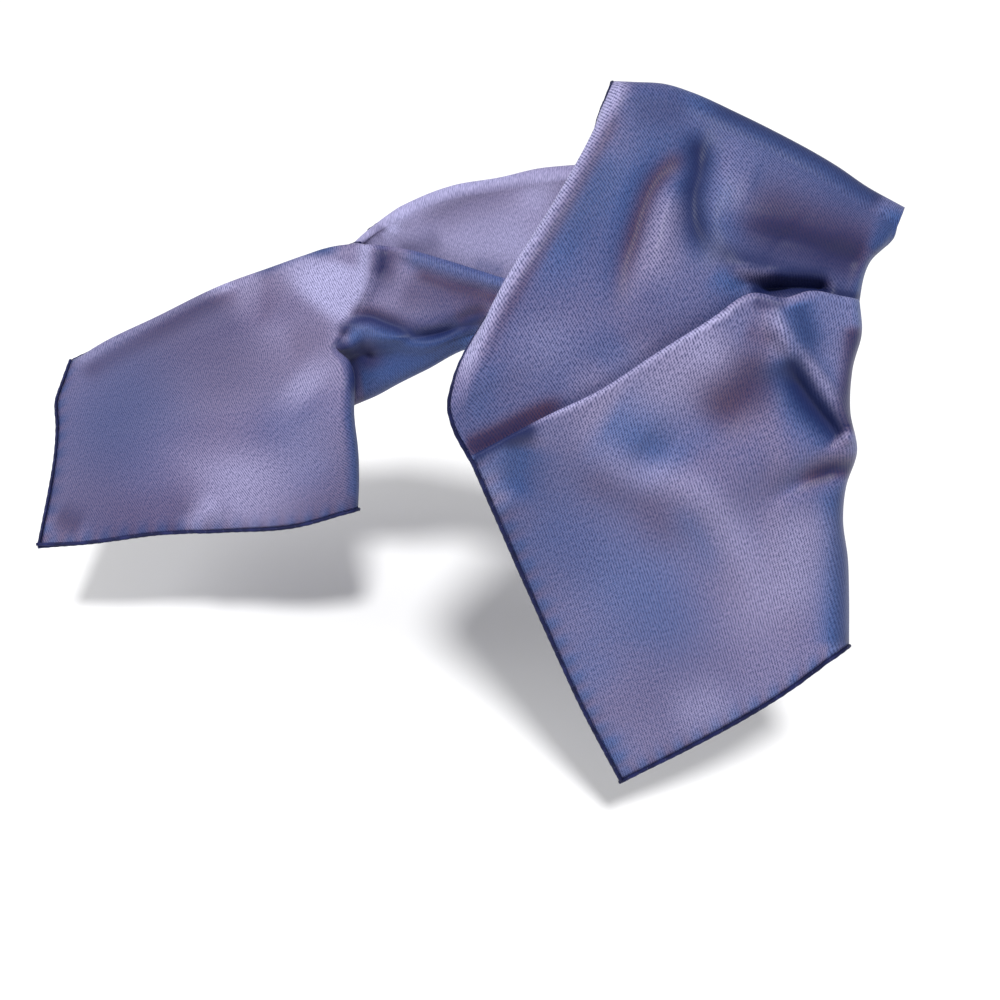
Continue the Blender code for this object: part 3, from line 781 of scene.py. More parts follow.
def silkTwill():
    made = Finish("shot silk twill")
    tints = made.node("ShaderNodeAttribute", {"attribute_name": "tints"})
    parts = made.node("ShaderNodeSeparateColor", i0=tints)
    blue, maroon, pale, navy = parts, parts.output(1), parts.output(2), tints.output(3)

    weave = made.node("ShaderNodeUVMap", {"uv_map": "weave"})
    acrossWale = made.node("ShaderNodeSeparateXYZ", i0=weave)
    alongWale = acrossWale.output(1)
    turns = 2 * math.pi / (cloth["walePitch"] * mm)
    drawn = made.node("ShaderNodeVectorMath", {"operation": "MULTIPLY"}, i0=weave, i1=(1.0, 0.5, 1.0))
    fine = made.node("ShaderNodeTexNoise", Vector=drawn, Scale=silk["fineGrain"], Detail=1.5, Roughness=0.6)
    coarse = made.node("ShaderNodeTexNoise", Vector=weave, Scale=silk["coarseGrain"], Detail=2.0)
    waver = made.node("ShaderNodeTexNoise", Vector=weave, Scale=silk["waver"], Detail=1.0)
    lines = (acrossWale * turns + waver * 1.2).sine() * 0.5 + 0.5
    ribs = made.node("ShaderNodeAttribute", {"attribute_name": "ribs"}, output=2)
    threads = (alongWale * (turns * silk["threads"]) + acrossWale * (turns * 0.5)).sine() * 0.5 + 0.5

    colour = made.mix((blue + (fine - 0.5) * 0.5 + (coarse - 0.5) * 0.3).kept(), silk["mauve"], silk["blue"])
    # painted highlight from the pale amount, then painted shade from the maroon and navy amounts
    colour = made.mix((pale * 0.9).kept(), colour, silk["pale"])
    colour = made.mix(maroon.kept(0, 0.92), colour, silk["maroon"])
    colour = made.mix(navy.kept(0, 0.98), colour, silk["navy"])
    shade = ((0.5 - lines) * silk["lineDepth"] + (0.5 - threads) * silk["threadDepth"]) * ribs
    shade = shade + silk["tone"] + (fine - 0.5) * (ribs * 0.7 + 0.3) * silk["speckle"]
    colour = made.mix(shade.kept(0, 0.8), colour, silk["navy"])
    height = (lines * 0.8 + threads * 0.2) * ribs + fine * 0.3
    bump = made.node("ShaderNodeBump", {}, Strength=silk["relief"], Distance=0.0002, Height=height)
    roughness = (lines * -0.08 + silk["roughness"] + (fine - 0.5) * 0.1).kept()
    made.set(Base_Color=colour, Roughness=roughness, Normal=bump, Metallic=0.0)
    made.set(Specular_IOR_Level=silk["gloss"])
    made.set(Sheen_Weight=silk["sheen"], Sheen_Roughness=0.35, Sheen_Tint=(0.72, 0.72, 1.0, 1))
    return made.material


edgeSilk = {
    "navy": (0.004, 0.006, 0.040, 1),
    "worn": (0.016, 0.022, 0.115, 1),
    "roughness": 0.5,
}


def rolledSilk():
    made = Finish("rolled silk edge")
    place = made.node("ShaderNodeTexCoord", output=3)
    fine = made.node("ShaderNodeTexNoise", Vector=place, Scale=1300.0, Detail=3.0)
    patches = made.node("ShaderNodeTexNoise", Vector=place, Scale=120.0, Detail=2.0)
    share = ((patches - 0.42) * 2.2 + (fine - 0.5) * 0.8).kept()
    bump = made.node("ShaderNodeBump", {}, Strength=0.35, Distance=0.0002, Height=fine)
    made.set(
        Base_Color=made.mix(share, edgeSilk["navy"], edgeSilk["worn"]),
        Roughness=(fine * 0.2 + edgeSilk["roughness"]).kept(),
        Normal=bump,
        Sheen_Weight=0.04,
        Sheen_Roughness=0.4,
        Sheen_Tint=(0.6, 0.65, 1.0, 1),
        Specular_IOR_Level=0.2,
    )
    return made.material


def stitchThread():
    made = Finish("stitching thread")
    place = made.node("ShaderNodeTexCoord", output=3)
    twist = made.node("ShaderNodeTexNoise", Vector=place, Scale=2500.0, Detail=1.0)
    made.set(
        Base_Color=made.mix(twist, (0.008, 0.010, 0.05, 1), (0.05, 0.06, 0.20, 1)),
        Roughness=(twist * 0.2 + 0.35).kept(),
    )
    return made.material


silkLook, edgeLook, threadLook = silkTwill(), rolledSilk(), stitchThread()
print("materials made")


# the scarf's stretches

# edge lines of each stretch, as they are seen: across, up, away, in mm

fallEnd = (
    (-85.0, -270.0, 110),
    (-55.0, -255.0, 100),
    (-27.0, -240.0, 90),
    (0.0, -223.5, 80),
    (29.0, -202.5, 70),
)
fallHemSide = (
    (-85.0, -270.0, 110),
    (-107.5, -227.5, 85),
    (-123.5, -192.5, 64),
    (-136.5, -163.0, 45),
    (-151.5, -129.5, 22),
    (-161.5, -106.5, 5),
)
fallFoldSide = (
    (29.0, -202.5, 70),
    (29.0, -177.5, 60),
    (28.5, -159.0, 50),
    (26.0, -137.0, 36),
    (27.5, -120.5, 26),
    (33.0, -102.0, 14),
    (29.5, -82.5, 10),
    (30.5, -60.5, 7),
    (35.0, -40.0, 3),
    (34.0, -27.0, 0),
)
fallLip = (
    (-161.5, -106.5, 5),
    (-122.0, -85.5, -2),
    (-97.0, -73.5, -6),
    (-67.5, -54.5, -10),
    (-38.5, -37.0, -12),
    (-16.5, -24.5, -12),
    (1.0, -27.0, -12),
    (13.0, -24.0, -9),
    (34.0, -27.0, 0),
)
upperHemSide = (
    (-162.5, -105.0, 9),
    (-169.0, -91.5, 4),
    (-171.0, -80.5, -1),
    (-168.0, -71.5, -5),
    (-158.5, -50.0, -12),
    (-142.0, -16.5, -18),
    (-115.0, 28.0, -15),
    (-97.0, 61.5, -6),
    (-88.0, 82.0, 0),
)
upperFoldSide = (
    (35.0, -27.5, 12),
    (40.5, -6.5, 12),
    (46.5, 0.0, 13),
    (54.0, 9.5, 16),
    (58.0, 18.5, 20),
)
upperTop = (
    (-88.0, 82.0, 0),
    (-66.0, 80.5, 5),
    (-52.0, 76.5, 8),
    (-28.0, 66.5, 10),
    (-3.0, 54.5, 12),
    (25.5, 38.5, 14),
    (43.5, 26.5, 17),
    (58.0, 18.5, 20),
)
backHemSide = (
    (-88.0, 72.0, 20),
    (-91.0, 57.0, 34),
    (-95.0, 41.0, 50),
)
backFoldSide = (
    (53.0, 9.0, 40),
    (30.0, -15.0, 62),
    (-20.0, -45.0, 82),
    (-80.0, -58.0, 95),
    (-145.0, -50.0, 104),
)
backSeam = (
    (-95.0, 41.0, 50),
    (-107.0, 18.0, 62),
    (-119.0, -4.0, 76),
    (-132.0, -27.0, 90),
    (-145.0, -50.0, 104),
)
layerTop = (
    (-95.0, 41.0, 50),
    (-110.0, 40.0, 56),
    (-125.0, 38.5, 66),
    (-145.0, 34.0, 82),
    (-168.5, 30.0, 101),
    (-189.5, 22.0, 122),
    (-207.0, 11.0, 143),
    (-218.0, 1.0, 158),
)
layerFoot = (
    (-121.5, -8.5, 79),
    (-140.0, -26.0, 102),
    (-175.0, -24.0, 128),
    (-200.0, -14.0, 150),
    (-220.0, -6.0, 166),
)
nearTop = (
    (-127.0, -17.0, 84),
    (-142.0, -16.5, 86),
    (-154.0, -13.0, 94),
    (-171.5, -7.5, 106),
    (-189.0, -2.5, 121),
    (-209.0, 0.5, 141),
)
nearFoot = (
    (-145.0, -50.0, 104),
    (-159.5, -51.0, 113),
    (-182.0, -62.0, 130),
    (-196.0, -69.0, 144),
    (-207.0, -75.0, 159),
    (-217.5, -79.5, 171),
    (-230.0, -85.0, 184),
)
# down to its last row the near layers and the left end are one cloth; they part below it
aboveFork = (
    (-209.0, 0.5, 141),
    (-208.5, -9.0, 141),
    (-210.5, -18.0, 143),
    (-214.5, -29.0, 147),
    (-219.5, -39.0, 149),
    (-223.5, -45.5, 150),
    (-226.0, -49.5, 150),
)
nearLeft = aboveFork + (
    (-229.0, -62.0, 170),
    (-230.0, -85.0, 184),
)
leftTop = (
    (-209.0, 0.5, 141),
    (-226.0, -0.5, 154),
    (-242.0, -5.0, 165),
    (-258.0, -10.5, 177),
    (-283.5, -19.5, 195),
    (-318.5, -36.5, 222),
    (-347.0, -50.5, 243),
    (-362.0, -60.0, 255),
)
leftHemSide = (
    (-362.0, -60.0, 255),
    (-366.0, -72.0, 249),
    (-367.0, -88.0, 242),
    (-371.0, -119.5, 229),
    (-377.5, -152.5, 214),
)
leftEnd = (
    (-216.5, -134.0, 173),
    (-242.0, -141.0, 182),
    (-280.0, -144.5, 194),
    (-318.5, -146.5, 202),
    (-353.5, -151.0, 209),
    (-377.5, -152.5, 214),
)
leftFoldSide = aboveFork + (
    (-220.0, -59.0, 142),
    (-218.5, -68.5, 137),
    (-218.5, -84.5, 139),
    (-216.5, -103.0, 148),
    (-216.0, -119.5, 161),
    (-216.5, -134.0, 173),
)

# How an edge turns back. Columns: place along the edge from 0 to 1, degrees of turn, mm of radius, mm of
# cloth beyond the turn, and mm kept free inside the seen line for half a wall, a hem or a seam.
halfWall = cloth["wall"] / 2
hemRoom = cloth["hem"] + cloth["hemGap"]
seamGap = 0.0
forkGap = 0.3         # at the fork, where a stretch folds away behind another
turnFallFold = (
    (0.0, 75, 9, 5, halfWall),
    (0.5, 80, 9, 5, halfWall),
    (0.9, 80, 6, 5, halfWall),
    (1.0, 70, 5, 4, halfWall),
)
turnUpperHem = (
    (0.0, 0, 5, 8, hemRoom),
    (0.16, 0, 5, 8, hemRoom),
    (0.3, 60, 5, 7, halfWall),
    (0.42, 110, 6, 5, halfWall),
    (0.9, 110, 6, 5, halfWall),
    (1.0, 60, 6, 4, halfWall),
)
turnUpperFold = ((0.0, 70, 5, 5, halfWall), (0.7, 80, 6, 5, halfWall), (1.0, 25, 6, 4, halfWall))
turnBackHem = ((0.0, 60, 6, 4, halfWall), (0.5, 70, 6, 4, halfWall), (1.0, 98, 6, 4, halfWall))
turnBackFold = ((0.0, 25, 6, 5, halfWall), (0.3, 70, 6, 5, halfWall), (1.0, 80, 6, 5, halfWall))
turnLayerTop = (
    (0.0, 98, 6, 4, halfWall),
    (0.2, 110, 6, 4, halfWall),
    (0.76, 110, 5, 4, halfWall),
    (0.9, 90, 2.5, 2.5, halfWall),
    (1.0, 60, 1.2, 1.5, halfWall),
)
turnNearTop = ((0.0, 60, 3, 2, halfWall), (1.0, 60, 3, 2, halfWall))
turnNearFoot = ((0.0, 80, 6, 5, halfWall), (1.0, 80, 6, 5, halfWall))
turnNearLeft = (
    (0.0, 0, 1, 0, seamGap),
    (0.15, 0, 1, 0, seamGap),
    (0.3, 0, 1, 0, forkGap),
    (1.0, 0, 1, 0, forkGap),
)
turnLeftTop = (
    (0.0, 60, 3, 2, halfWall),
    (0.04, 108, 5, 3, halfWall),
    (0.15, 110, 6, 4, halfWall),
    (0.9, 110, 6, 4, halfWall),
    (1.0, 75, 6, 4, halfWall),
)
turnLeftFold = (
    (0.0, 0, 3, 3, seamGap),
    (0.1, 0, 3, 3, seamGap),
    (0.2, 0, 3, 3, forkGap),
    (0.36, 0, 3, 3, forkGap),
    (0.5, 70, 4, 4, halfWall),
    (1.0, 75, 5, 4, halfWall),
)

pleat = {
    # place along the lip, lip radius, depth of the tuck
    "rows": ((0.0, 1.0, 2), (0.35, 1.1, 4), (0.6, 1.5, 9), (0.75, 2.4, 14), (0.9, 2.6, 14), (1.0, 2.2, 9)),
    "turn": math.radians(150),
    "footRadius": 1.6,
    "gap": 0.6,
    "topRadius": 10.0,
}


def pleatFoot():
    places = np.linspace(0, 1, shaping["linePoints"])
    radius = column(pleat["rows"], places, 1)
    run = column(pleat["rows"], places, 2) + pleat["gap"]
    foot = pleat["footRadius"]
    cosine, sine = math.cos(pleat["turn"]), math.sin(pleat["turn"])
    inward = halfWall + radius - radius * sine - run * cosine + foot * (1 - sine)
    return movedLine(fallLip, inward, (radius + foot) * (1 - cosine) + run * sine)


# What a user would change on each stretch. Places and widths are pixels, heights are mm.

frontFall = {
    "across": 104,
    "along": 112,
    "folds": (
        # width, height towards the viewer, fade in, fade out, places
        (10, 7.5, 0.2, 0.08, (768, 302), (788, 341), (811, 372), (838, 412), (858, 446)),
        (15, -6.5, 0.3, 0.08, (786, 356), (805, 396), (846, 438)),
        (22, -5.5, 0.3, 0.4, (778, 358), (732, 412), (694, 440)),
        (10, -6, 0.05, 0.5, (862, 466), (828, 470), (790, 486), (758, 515)),
        (26, -4, 0.4, 0.4, (636, 438), (672, 466)),
        (40, -3, 0.3, 0.3, (500, 470), (600, 520), (670, 540), (712, 640)),
        (16, -4, 0.2, 0.4, (522, 434), (520, 470), (508, 500)),
        (30, 2, 0.4, 0.4, (640, 400), (720, 350)),
        (22, 2.5, 0.3, 0.4, (556, 428), (620, 472), (684, 488), (736, 560), (756, 630)),
        (40, 1.5, 0.4, 0.4, (780, 510), (785, 640)),
    ),
    "tints": (
        # what it tints, width, strength, fade in, fade out, places; pale strokes are painted highlights on
        # ridges, rims and the lip, maroon and navy strokes painted shade in valleys and creases, blue strokes
        # the silk's blue and painted shade
        ("pale", 28, 0.80, 0.3, 0.2, (560, 440), (620, 408), (680, 372), (740, 330)),
        ("pale", 2, 0.9, 0.1, 0.1, (540, 420), (596, 395), (655, 357), (713, 322), (746, 302)),
        ("maroon", 20, 0.15, 0.3, 0.3, (560, 428), (640, 390), (720, 345)),
        ("maroon", 24, 0.78, 0.3, 0.4, (782, 352), (756, 380), (722, 406), (688, 434)),
        ("navy", 18, 0.30, 0.3, 0.4, (786, 356), (762, 382), (728, 404)),
        ("blue", 38, 0.92, 0.2, 0.3, (594, 412), (640, 444), (676, 490)),
        ("navy", 24, 0.12, 0.4, 0.4, (616, 424), (666, 474)),
        ("blue", 20, 0.95, 0.2, 0.1, (776, 346), (798, 396), (840, 438)),
        ("navy", 16, 1.0, 0.15, 0.1, (785, 350), (808, 398), (846, 438)),
        ("pale", 4, 0.6, 0.2, 0.1, (770, 304), (790, 338), (814, 370), (838, 406), (856, 440)),
        ("blue", 14, 1.0, 0.1, 0.4, (796, 300), (804, 330), (812, 360)),
        ("navy", 10, 0.60, 0.1, 0.4, (796, 304), (806, 332), (814, 360)),
        ("maroon", 8, 0.9, 0.05, 0.45, (860, 466), (826, 471), (790, 488)),
        ("navy", 6, 0.75, 0.0, 0.4, (860, 464), (836, 468), (806, 478)),
        ("blue", 14, 0.95, 0.2, 0.05, (838, 470), (834, 505), (834, 560), (834, 648)),
        ("navy", 10, 0.62, 0.15, 0.05, (844, 474), (840, 520), (842, 580), (842, 648)),
        ("blue", 50, 0.62, 0.2, 0.3, (506, 500), (600, 560), (660, 640), (640, 700)),
        ("navy", 40, 0.22, 0.1, 0.5, (500, 500), (560, 540), (620, 600)),
        ("maroon", 16, 0.25, 0.3, 0.3, (560, 470), (640, 500), (680, 560)),
        ("blue", 12, 0.5, 0.3, 0.4, (668, 498), (702, 536), (720, 590)),
        ("navy", 5, 0.95, 0.05, 0.2, (470, 456), (496, 444), (520, 434), (544, 424)),
        ("navy", 8, 0.75, 0.3, 0.3, (500, 444), (520, 436), (538, 430)),
        ("blue", 24, 0.95, 0.2, 0.4, (526, 436), (518, 470), (508, 516)),
        ("navy", 20, 0.32, 0.25, 0.4, (530, 436), (522, 466), (508, 504)),
        ("pale", 9, 0.4, 0.2, 0.3, (482, 462), (490, 484), (506, 512)),
        ("maroon", 8, 0.75, 0.1, 0.1, (854, 322), (851, 366), (846, 404), (852, 436)),
        ("navy", 8, 0.70, 0.1, 0.1, (858, 326), (853, 366), (849, 404), (856, 436)),
        ("navy", 6, 0.6, 0.1, 0.3, (752, 300), (770, 304), (790, 302)),
        ("maroon", 9, 0.35, 0.3, 0.3, (740, 330), (760, 336), (776, 346)),
        ("pale", 14, 0.45, 0.3, 0.4, (570, 420), (626, 470), (690, 486), (744, 560), (764, 640)),
        ("pale", 22, 0.45, 0.3, 0.4, (812, 490), (796, 560), (780, 640)),
        ("pale", 30, 0.35, 0.4, 0.4, (790, 480), (770, 560), (740, 690)),
        ("blue", 14, 0.65, 0.3, 0.3, (600, 726), (612, 756), (625, 770)),
        ("blue", 26, 0.35, 0.4, 0.4, (560, 640), (620, 690)),
        ("pale", 22, 0.35, 0.4, 0.4, (660, 720), (740, 690)),
    ),
    "wale": -73,          # degrees, as seen
    "ribs": 0.9,          # how strongly the twill lines show
    # pale and navy of the plain cloth are painted light and painted shade for how brightly this stretch is
    # lit
    "overall": (0.36, 0.05, 0.20, 0.02),    # blue, maroon, pale and navy of the plain cloth
}

pleatDegrees = math.degrees(pleat["turn"])
fall = drape(
    near=Edge(fallEnd, trim=hemRoom),
    far=Edge(fallLip, turn=[(p, pleatDegrees, r, d, halfWall) for p, r, d in pleat["rows"]], steps=20),
    left=Edge(fallHemSide, trim=hemRoom),
    right=Edge(fallFoldSide, turn=turnFallFold, steps=9),
    across=frontFall["across"],
    along=frontFall["along"],
    folds=frontFall["folds"],
    calm="far",
)
fallBody = frontFall["along"]
fall, sideRun = puckered(fall, "left")
fall, endRun = puckered(fall, "near")
fallTintsAndLight = tintsAndLightOf(fall, frontFall["overall"], frontFall["tints"], (sideRun, endRun))
fallWeave = weaveOf(fall, frontFall["wale"])
fallPiece = sheetOf("frontFallCloth", [(fall, fallTintsAndLight, fallWeave, frontFall["ribs"])], silkLook)
print("front fall draped")

upperFront = {
    "across": 96,
    "along": 92,
    "folds": (
        (
            16, -6, 0.3, 0.5,
            (694, 148), (673, 165), (655, 183), (644, 208),
            (633, 240), (624, 264), (612, 340),
        ),
        (14, 3, 0.3, 0.5, (682, 172), (665, 215), (658, 245), (646, 310)),
        (
            16, -7.5, 0.3, 0.4,
            (692, 118), (699, 150), (699, 176), (693, 196),
            (693, 217), (702, 242), (722, 270),
        ),
        (24, 2, 0.3, 0.3, (716, 168), (760, 186)),
        (16, -4.5, 0.3, 0.15, (708, 216), (742, 232), (790, 243), (872, 270)),
        (9, 3, 0.3, 0.3, (722, 260), (752, 268), (800, 274)),
        (8, -2.5, 0.3, 0.3, (728, 280), (760, 285), (790, 280)),
        (9, -4, 0.05, 0.4, (462, 446), (506, 430), (552, 408)),
        (9, -11, 0.25, 0.2, (750, 294), (785, 288), (834, 290)),
        (40, 1.5, 0.3, 0.3, (600, 170), (560, 250), (520, 330)),
    ),
    # pale strokes are painted highlights, maroon and navy strokes painted shade, blue strokes the silk's blue
    # and painted shade
    "tints": (
        ("blue", 12, 0.95, 0.2, 0.05, (658, 92), (706, 106), (756, 128), (812, 158), (880, 200)),
        ("navy", 14, 0.85, 0.25, 0.05, (676, 92), (735, 113), (785, 136), (840, 166), (888, 200)),
        ("blue", 26, 0.65, 0.3, 0.4, (690, 112), (655, 155), (628, 210), (610, 270)),
        ("navy", 22, 0.16, 0.3, 0.5, (694, 108), (660, 150), (632, 205)),
        ("blue", 16, 0.6, 0.2, 0.4, (618, 140), (588, 200), (556, 262), (530, 310)),
        ("navy", 18, 0.28, 0.2, 0.4, (612, 150), (584, 208), (552, 268)),
        (
            "maroon", 8, 0.85, 0.12, 0.5,
            (692, 152), (670, 166), (653, 186), (642, 212),
            (632, 243), (622, 282), (612, 325),
        ),
        ("blue", 18, 0.85, 0.3, 0.3, (622, 106), (656, 108), (700, 104)),
        ("navy", 16, 0.22, 0.3, 0.3, (622, 106), (656, 108), (700, 104)),
        ("maroon", 14, 0.22, 0.3, 0.3, (622, 110), (656, 110), (696, 106)),
        (
            "navy", 13, 1.0, 0.2, 0.3,
            (693, 120), (699, 150), (699, 176), (694, 196),
            (694, 217), (704, 244), (722, 270),
        ),
        (
            "blue", 15, 0.90, 0.25, 0.3,
            (690, 112), (701, 146), (702, 176), (697, 197),
            (698, 218), (706, 243), (724, 268),
        ),
        ("pale", 14, 0.60, 0.3, 0.4, (678, 182), (668, 215), (662, 250), (650, 300)),
        ("maroon", 20, 0.18, 0.3, 0.4, (676, 190), (664, 230), (660, 290)),
        ("pale", 7, 0.95, 0.0, 0.1, (618, 88), (600, 120), (574, 172), (524, 252), (486, 322), (458, 385)),
        ("maroon", 5, 0.40, 0.1, 0.3, (624, 104), (592, 162), (542, 250), (502, 322), (474, 385)),
        # painted shade below the hold point, where the cloth was pressed
        ("maroon", 22, 0.85, 0.3, 0.1, (734, 204), (800, 230), (872, 256)),
        ("navy", 24, 0.72, 0.4, 0.1, (716, 214), (784, 240), (868, 262)),
        ("navy", 30, 0.25, 0.3, 0.2, (720, 170), (800, 205), (870, 232)),
        ("pale", 14, 0.25, 0.3, 0.3, (706, 160), (724, 186), (760, 196)),
        ("blue", 12, 0.5, 0.3, 0.3, (702, 150), (720, 190), (742, 206)),
        ("blue", 11, 0.9, 0.2, 0.1, (898, 206), (888, 232), (876, 254)),
        ("navy", 9, 0.45, 0.2, 0.1, (892, 214), (880, 236), (870, 256)),
        ("navy", 9, 0.80, 0.3, 0.35, (708, 232), (724, 252), (752, 262), (800, 268)),
        ("blue", 12, 0.75, 0.3, 0.3, (708, 270), (724, 282), (752, 284)),
        ("pale", 5, 0.55, 0.3, 0.3, (730, 268), (752, 273), (778, 276)),
        # painted shade in the pocket under the hold point
        ("navy", 11, 1.0, 0.08, 0.12, (748, 295), (772, 288), (805, 286), (830, 291)),
        ("navy", 5, 0.9, 0.1, 0.1, (820, 291), (840, 294), (860, 298)),
        ("navy", 6, 0.7, 0.2, 0.2, (770, 276), (800, 272), (830, 280)),
        ("maroon", 7, 1.0, 0.08, 0.25, (464, 448), (500, 431), (538, 411), (572, 397)),
        ("maroon", 5, 0.8, 0.08, 0.25, (464, 450), (500, 434), (538, 415), (566, 402)),
        ("navy", 5, 0.45, 0.1, 0.3, (466, 449), (500, 433), (540, 413)),
        ("navy", 4, 0.25, 0.15, 0.05, (530, 418), (590, 391), (650, 352), (708, 317), (750, 294)),
        ("maroon", 7, 0.10, 0.2, 0.1, (560, 402), (600, 384), (655, 347), (713, 311)),
        ("blue", 30, 0.32, 0.4, 0.4, (585, 320), (560, 360), (590, 385)),
        ("pale", 26, 0.22, 0.4, 0.4, (540, 300), (548, 350), (560, 385)),
        ("pale", 14, 0.30, 0.3, 0.3, (556, 398), (608, 372), (664, 336)),
        ("blue", 22, 0.45, 0.4, 0.4, (630, 330), (592, 375)),
        ("blue", 12, 0.35, 0.3, 0.3, (500, 350), (480, 400), (470, 430)),
    ),
    "wale": -51,
    "ribs": 1.0,
    # its pale and navy are painted light and painted shade for how brightly this stretch is lit
    "overall": (0.47, 0.08, 0.05, 0.12),
}

backRun = {
    "along": 70,
    "folds": (
        (40, -4, 0.3, 0.3, (640, 150), (700, 240), (650, 300)),
        (34, 3, 0.3, 0.3, (740, 150), (760, 250), (700, 320)),
        (30, -3, 0.3, 0.3, (820, 190), (800, 260)),
    ),
}

foot = pleatFoot()
upper = drape(
    near=Edge(foot, turn=[(p, pleatDegrees, pleat["footRadius"], 0, 0) for p in (0, 1)], steps=6, side=-1),
    far=Edge(upperTop, turn=[(p, 180, pleat["topRadius"], 0, halfWall) for p in (0, 1)], steps=16),
    left=Edge([foot[0]] + list(upperHemSide[1:]), turn=turnUpperHem, steps=8),
    right=Edge([foot[-1]] + list(upperFoldSide[1:]), turn=turnUpperFold, steps=8),
    across=upperFront["across"],
    along=upperFront["along"],
    folds=upperFront["folds"],
    calm="near",
)
back = drape(
    near=Edge(movedLine(upperTop, pleat["topRadius"] + halfWall, 2 * pleat["topRadius"])),
    far=Edge(backSeam),
    left=Edge(backHemSide, turn=turnBackHem, steps=8),
    right=Edge(backFoldSide, turn=turnBackFold, steps=8),
    across=upperFront["across"],
    along=backRun["along"],
    folds=backRun["folds"],
)
backStart = len(upper) - 1
overTop = followOn(upper, back)
overTintsAndLight = tintsAndLightOf(overTop, upperFront["overall"], upperFront["tints"])
overWeave = weaveOf(overTop, upperFront["wale"])
upperPiece = sheetOf("upperFrontCloth", [(overTop, overTintsAndLight, overWeave, upperFront["ribs"])], silkLook)
print("upper front and back draped")

tailUpper = {
    "across": 48,
    "along": 92,
    "folds": (
        (16, -3.5, 0.2, 0.3, (556, 184), (500, 194), (462, 208), (432, 226), (404, 250)),
        (9, 2, 0.3, 0.3, (412, 208), (396, 224), (386, 240)),
        (7, -2, 0.3, 0.2, (396, 218), (382, 236)),
    ),
    # pale strokes are painted highlights, maroon and navy strokes painted shade, blue strokes the silk's blue
    # and painted shade
    "tints": (
        ("maroon", 12, 0.22, 0.3, 0.3, (540, 192), (490, 204), (452, 218), (424, 238)),
        ("navy", 15, 0.15, 0.3, 0.3, (530, 192), (476, 208), (440, 226), (408, 250)),
        ("navy", 10, 0.4, 0.3, 0.2, (448, 236), (414, 248), (396, 252)),
        ("pale", 7, 0.9, 0.1, 0.2, (392, 214), (430, 196), (470, 183), (530, 171)),
        ("pale", 8, 0.85, 0.3, 0.3, (410, 206), (396, 222), (390, 240)),
        ("navy", 6, 0.25, 0.3, 0.3, (384, 224), (376, 238)),
        ("pale", 20, 0.55, 0.3, 0.3, (440, 256), (500, 250), (540, 225)),
        ("blue", 7, 0.5, 0.3, 0.1, (470, 262), (505, 272)),
    ),
    "wale": -50,
    "ribs": 0.3,
    # its pale and navy are painted light and painted shade for how brightly this stretch is lit
    "overall": (0.20, 0.05, 0.42, 0.00),
}

layer = drape(
    near=Edge([backSeam[0], (-108.5, 15.5, 64), layerFoot[0]]),
    far=Edge([layerTop[-1], layerFoot[-1]]),
    left=Edge(layerTop, turn=turnLayerTop, steps=8),
    right=Edge(layerFoot),
    across=tailUpper["across"],
    along=tailUpper["along"],
    folds=tailUpper["folds"],
)
layerPiece = sheetOf(
    "tailUpperCloth",
    [(
        layer,
        tintsAndLightOf(layer, tailUpper["overall"], tailUpper["tints"]),
        weaveOf(layer, tailUpper["wale"]),
        tailUpper["ribs"],
    )],
    silkLook,
)

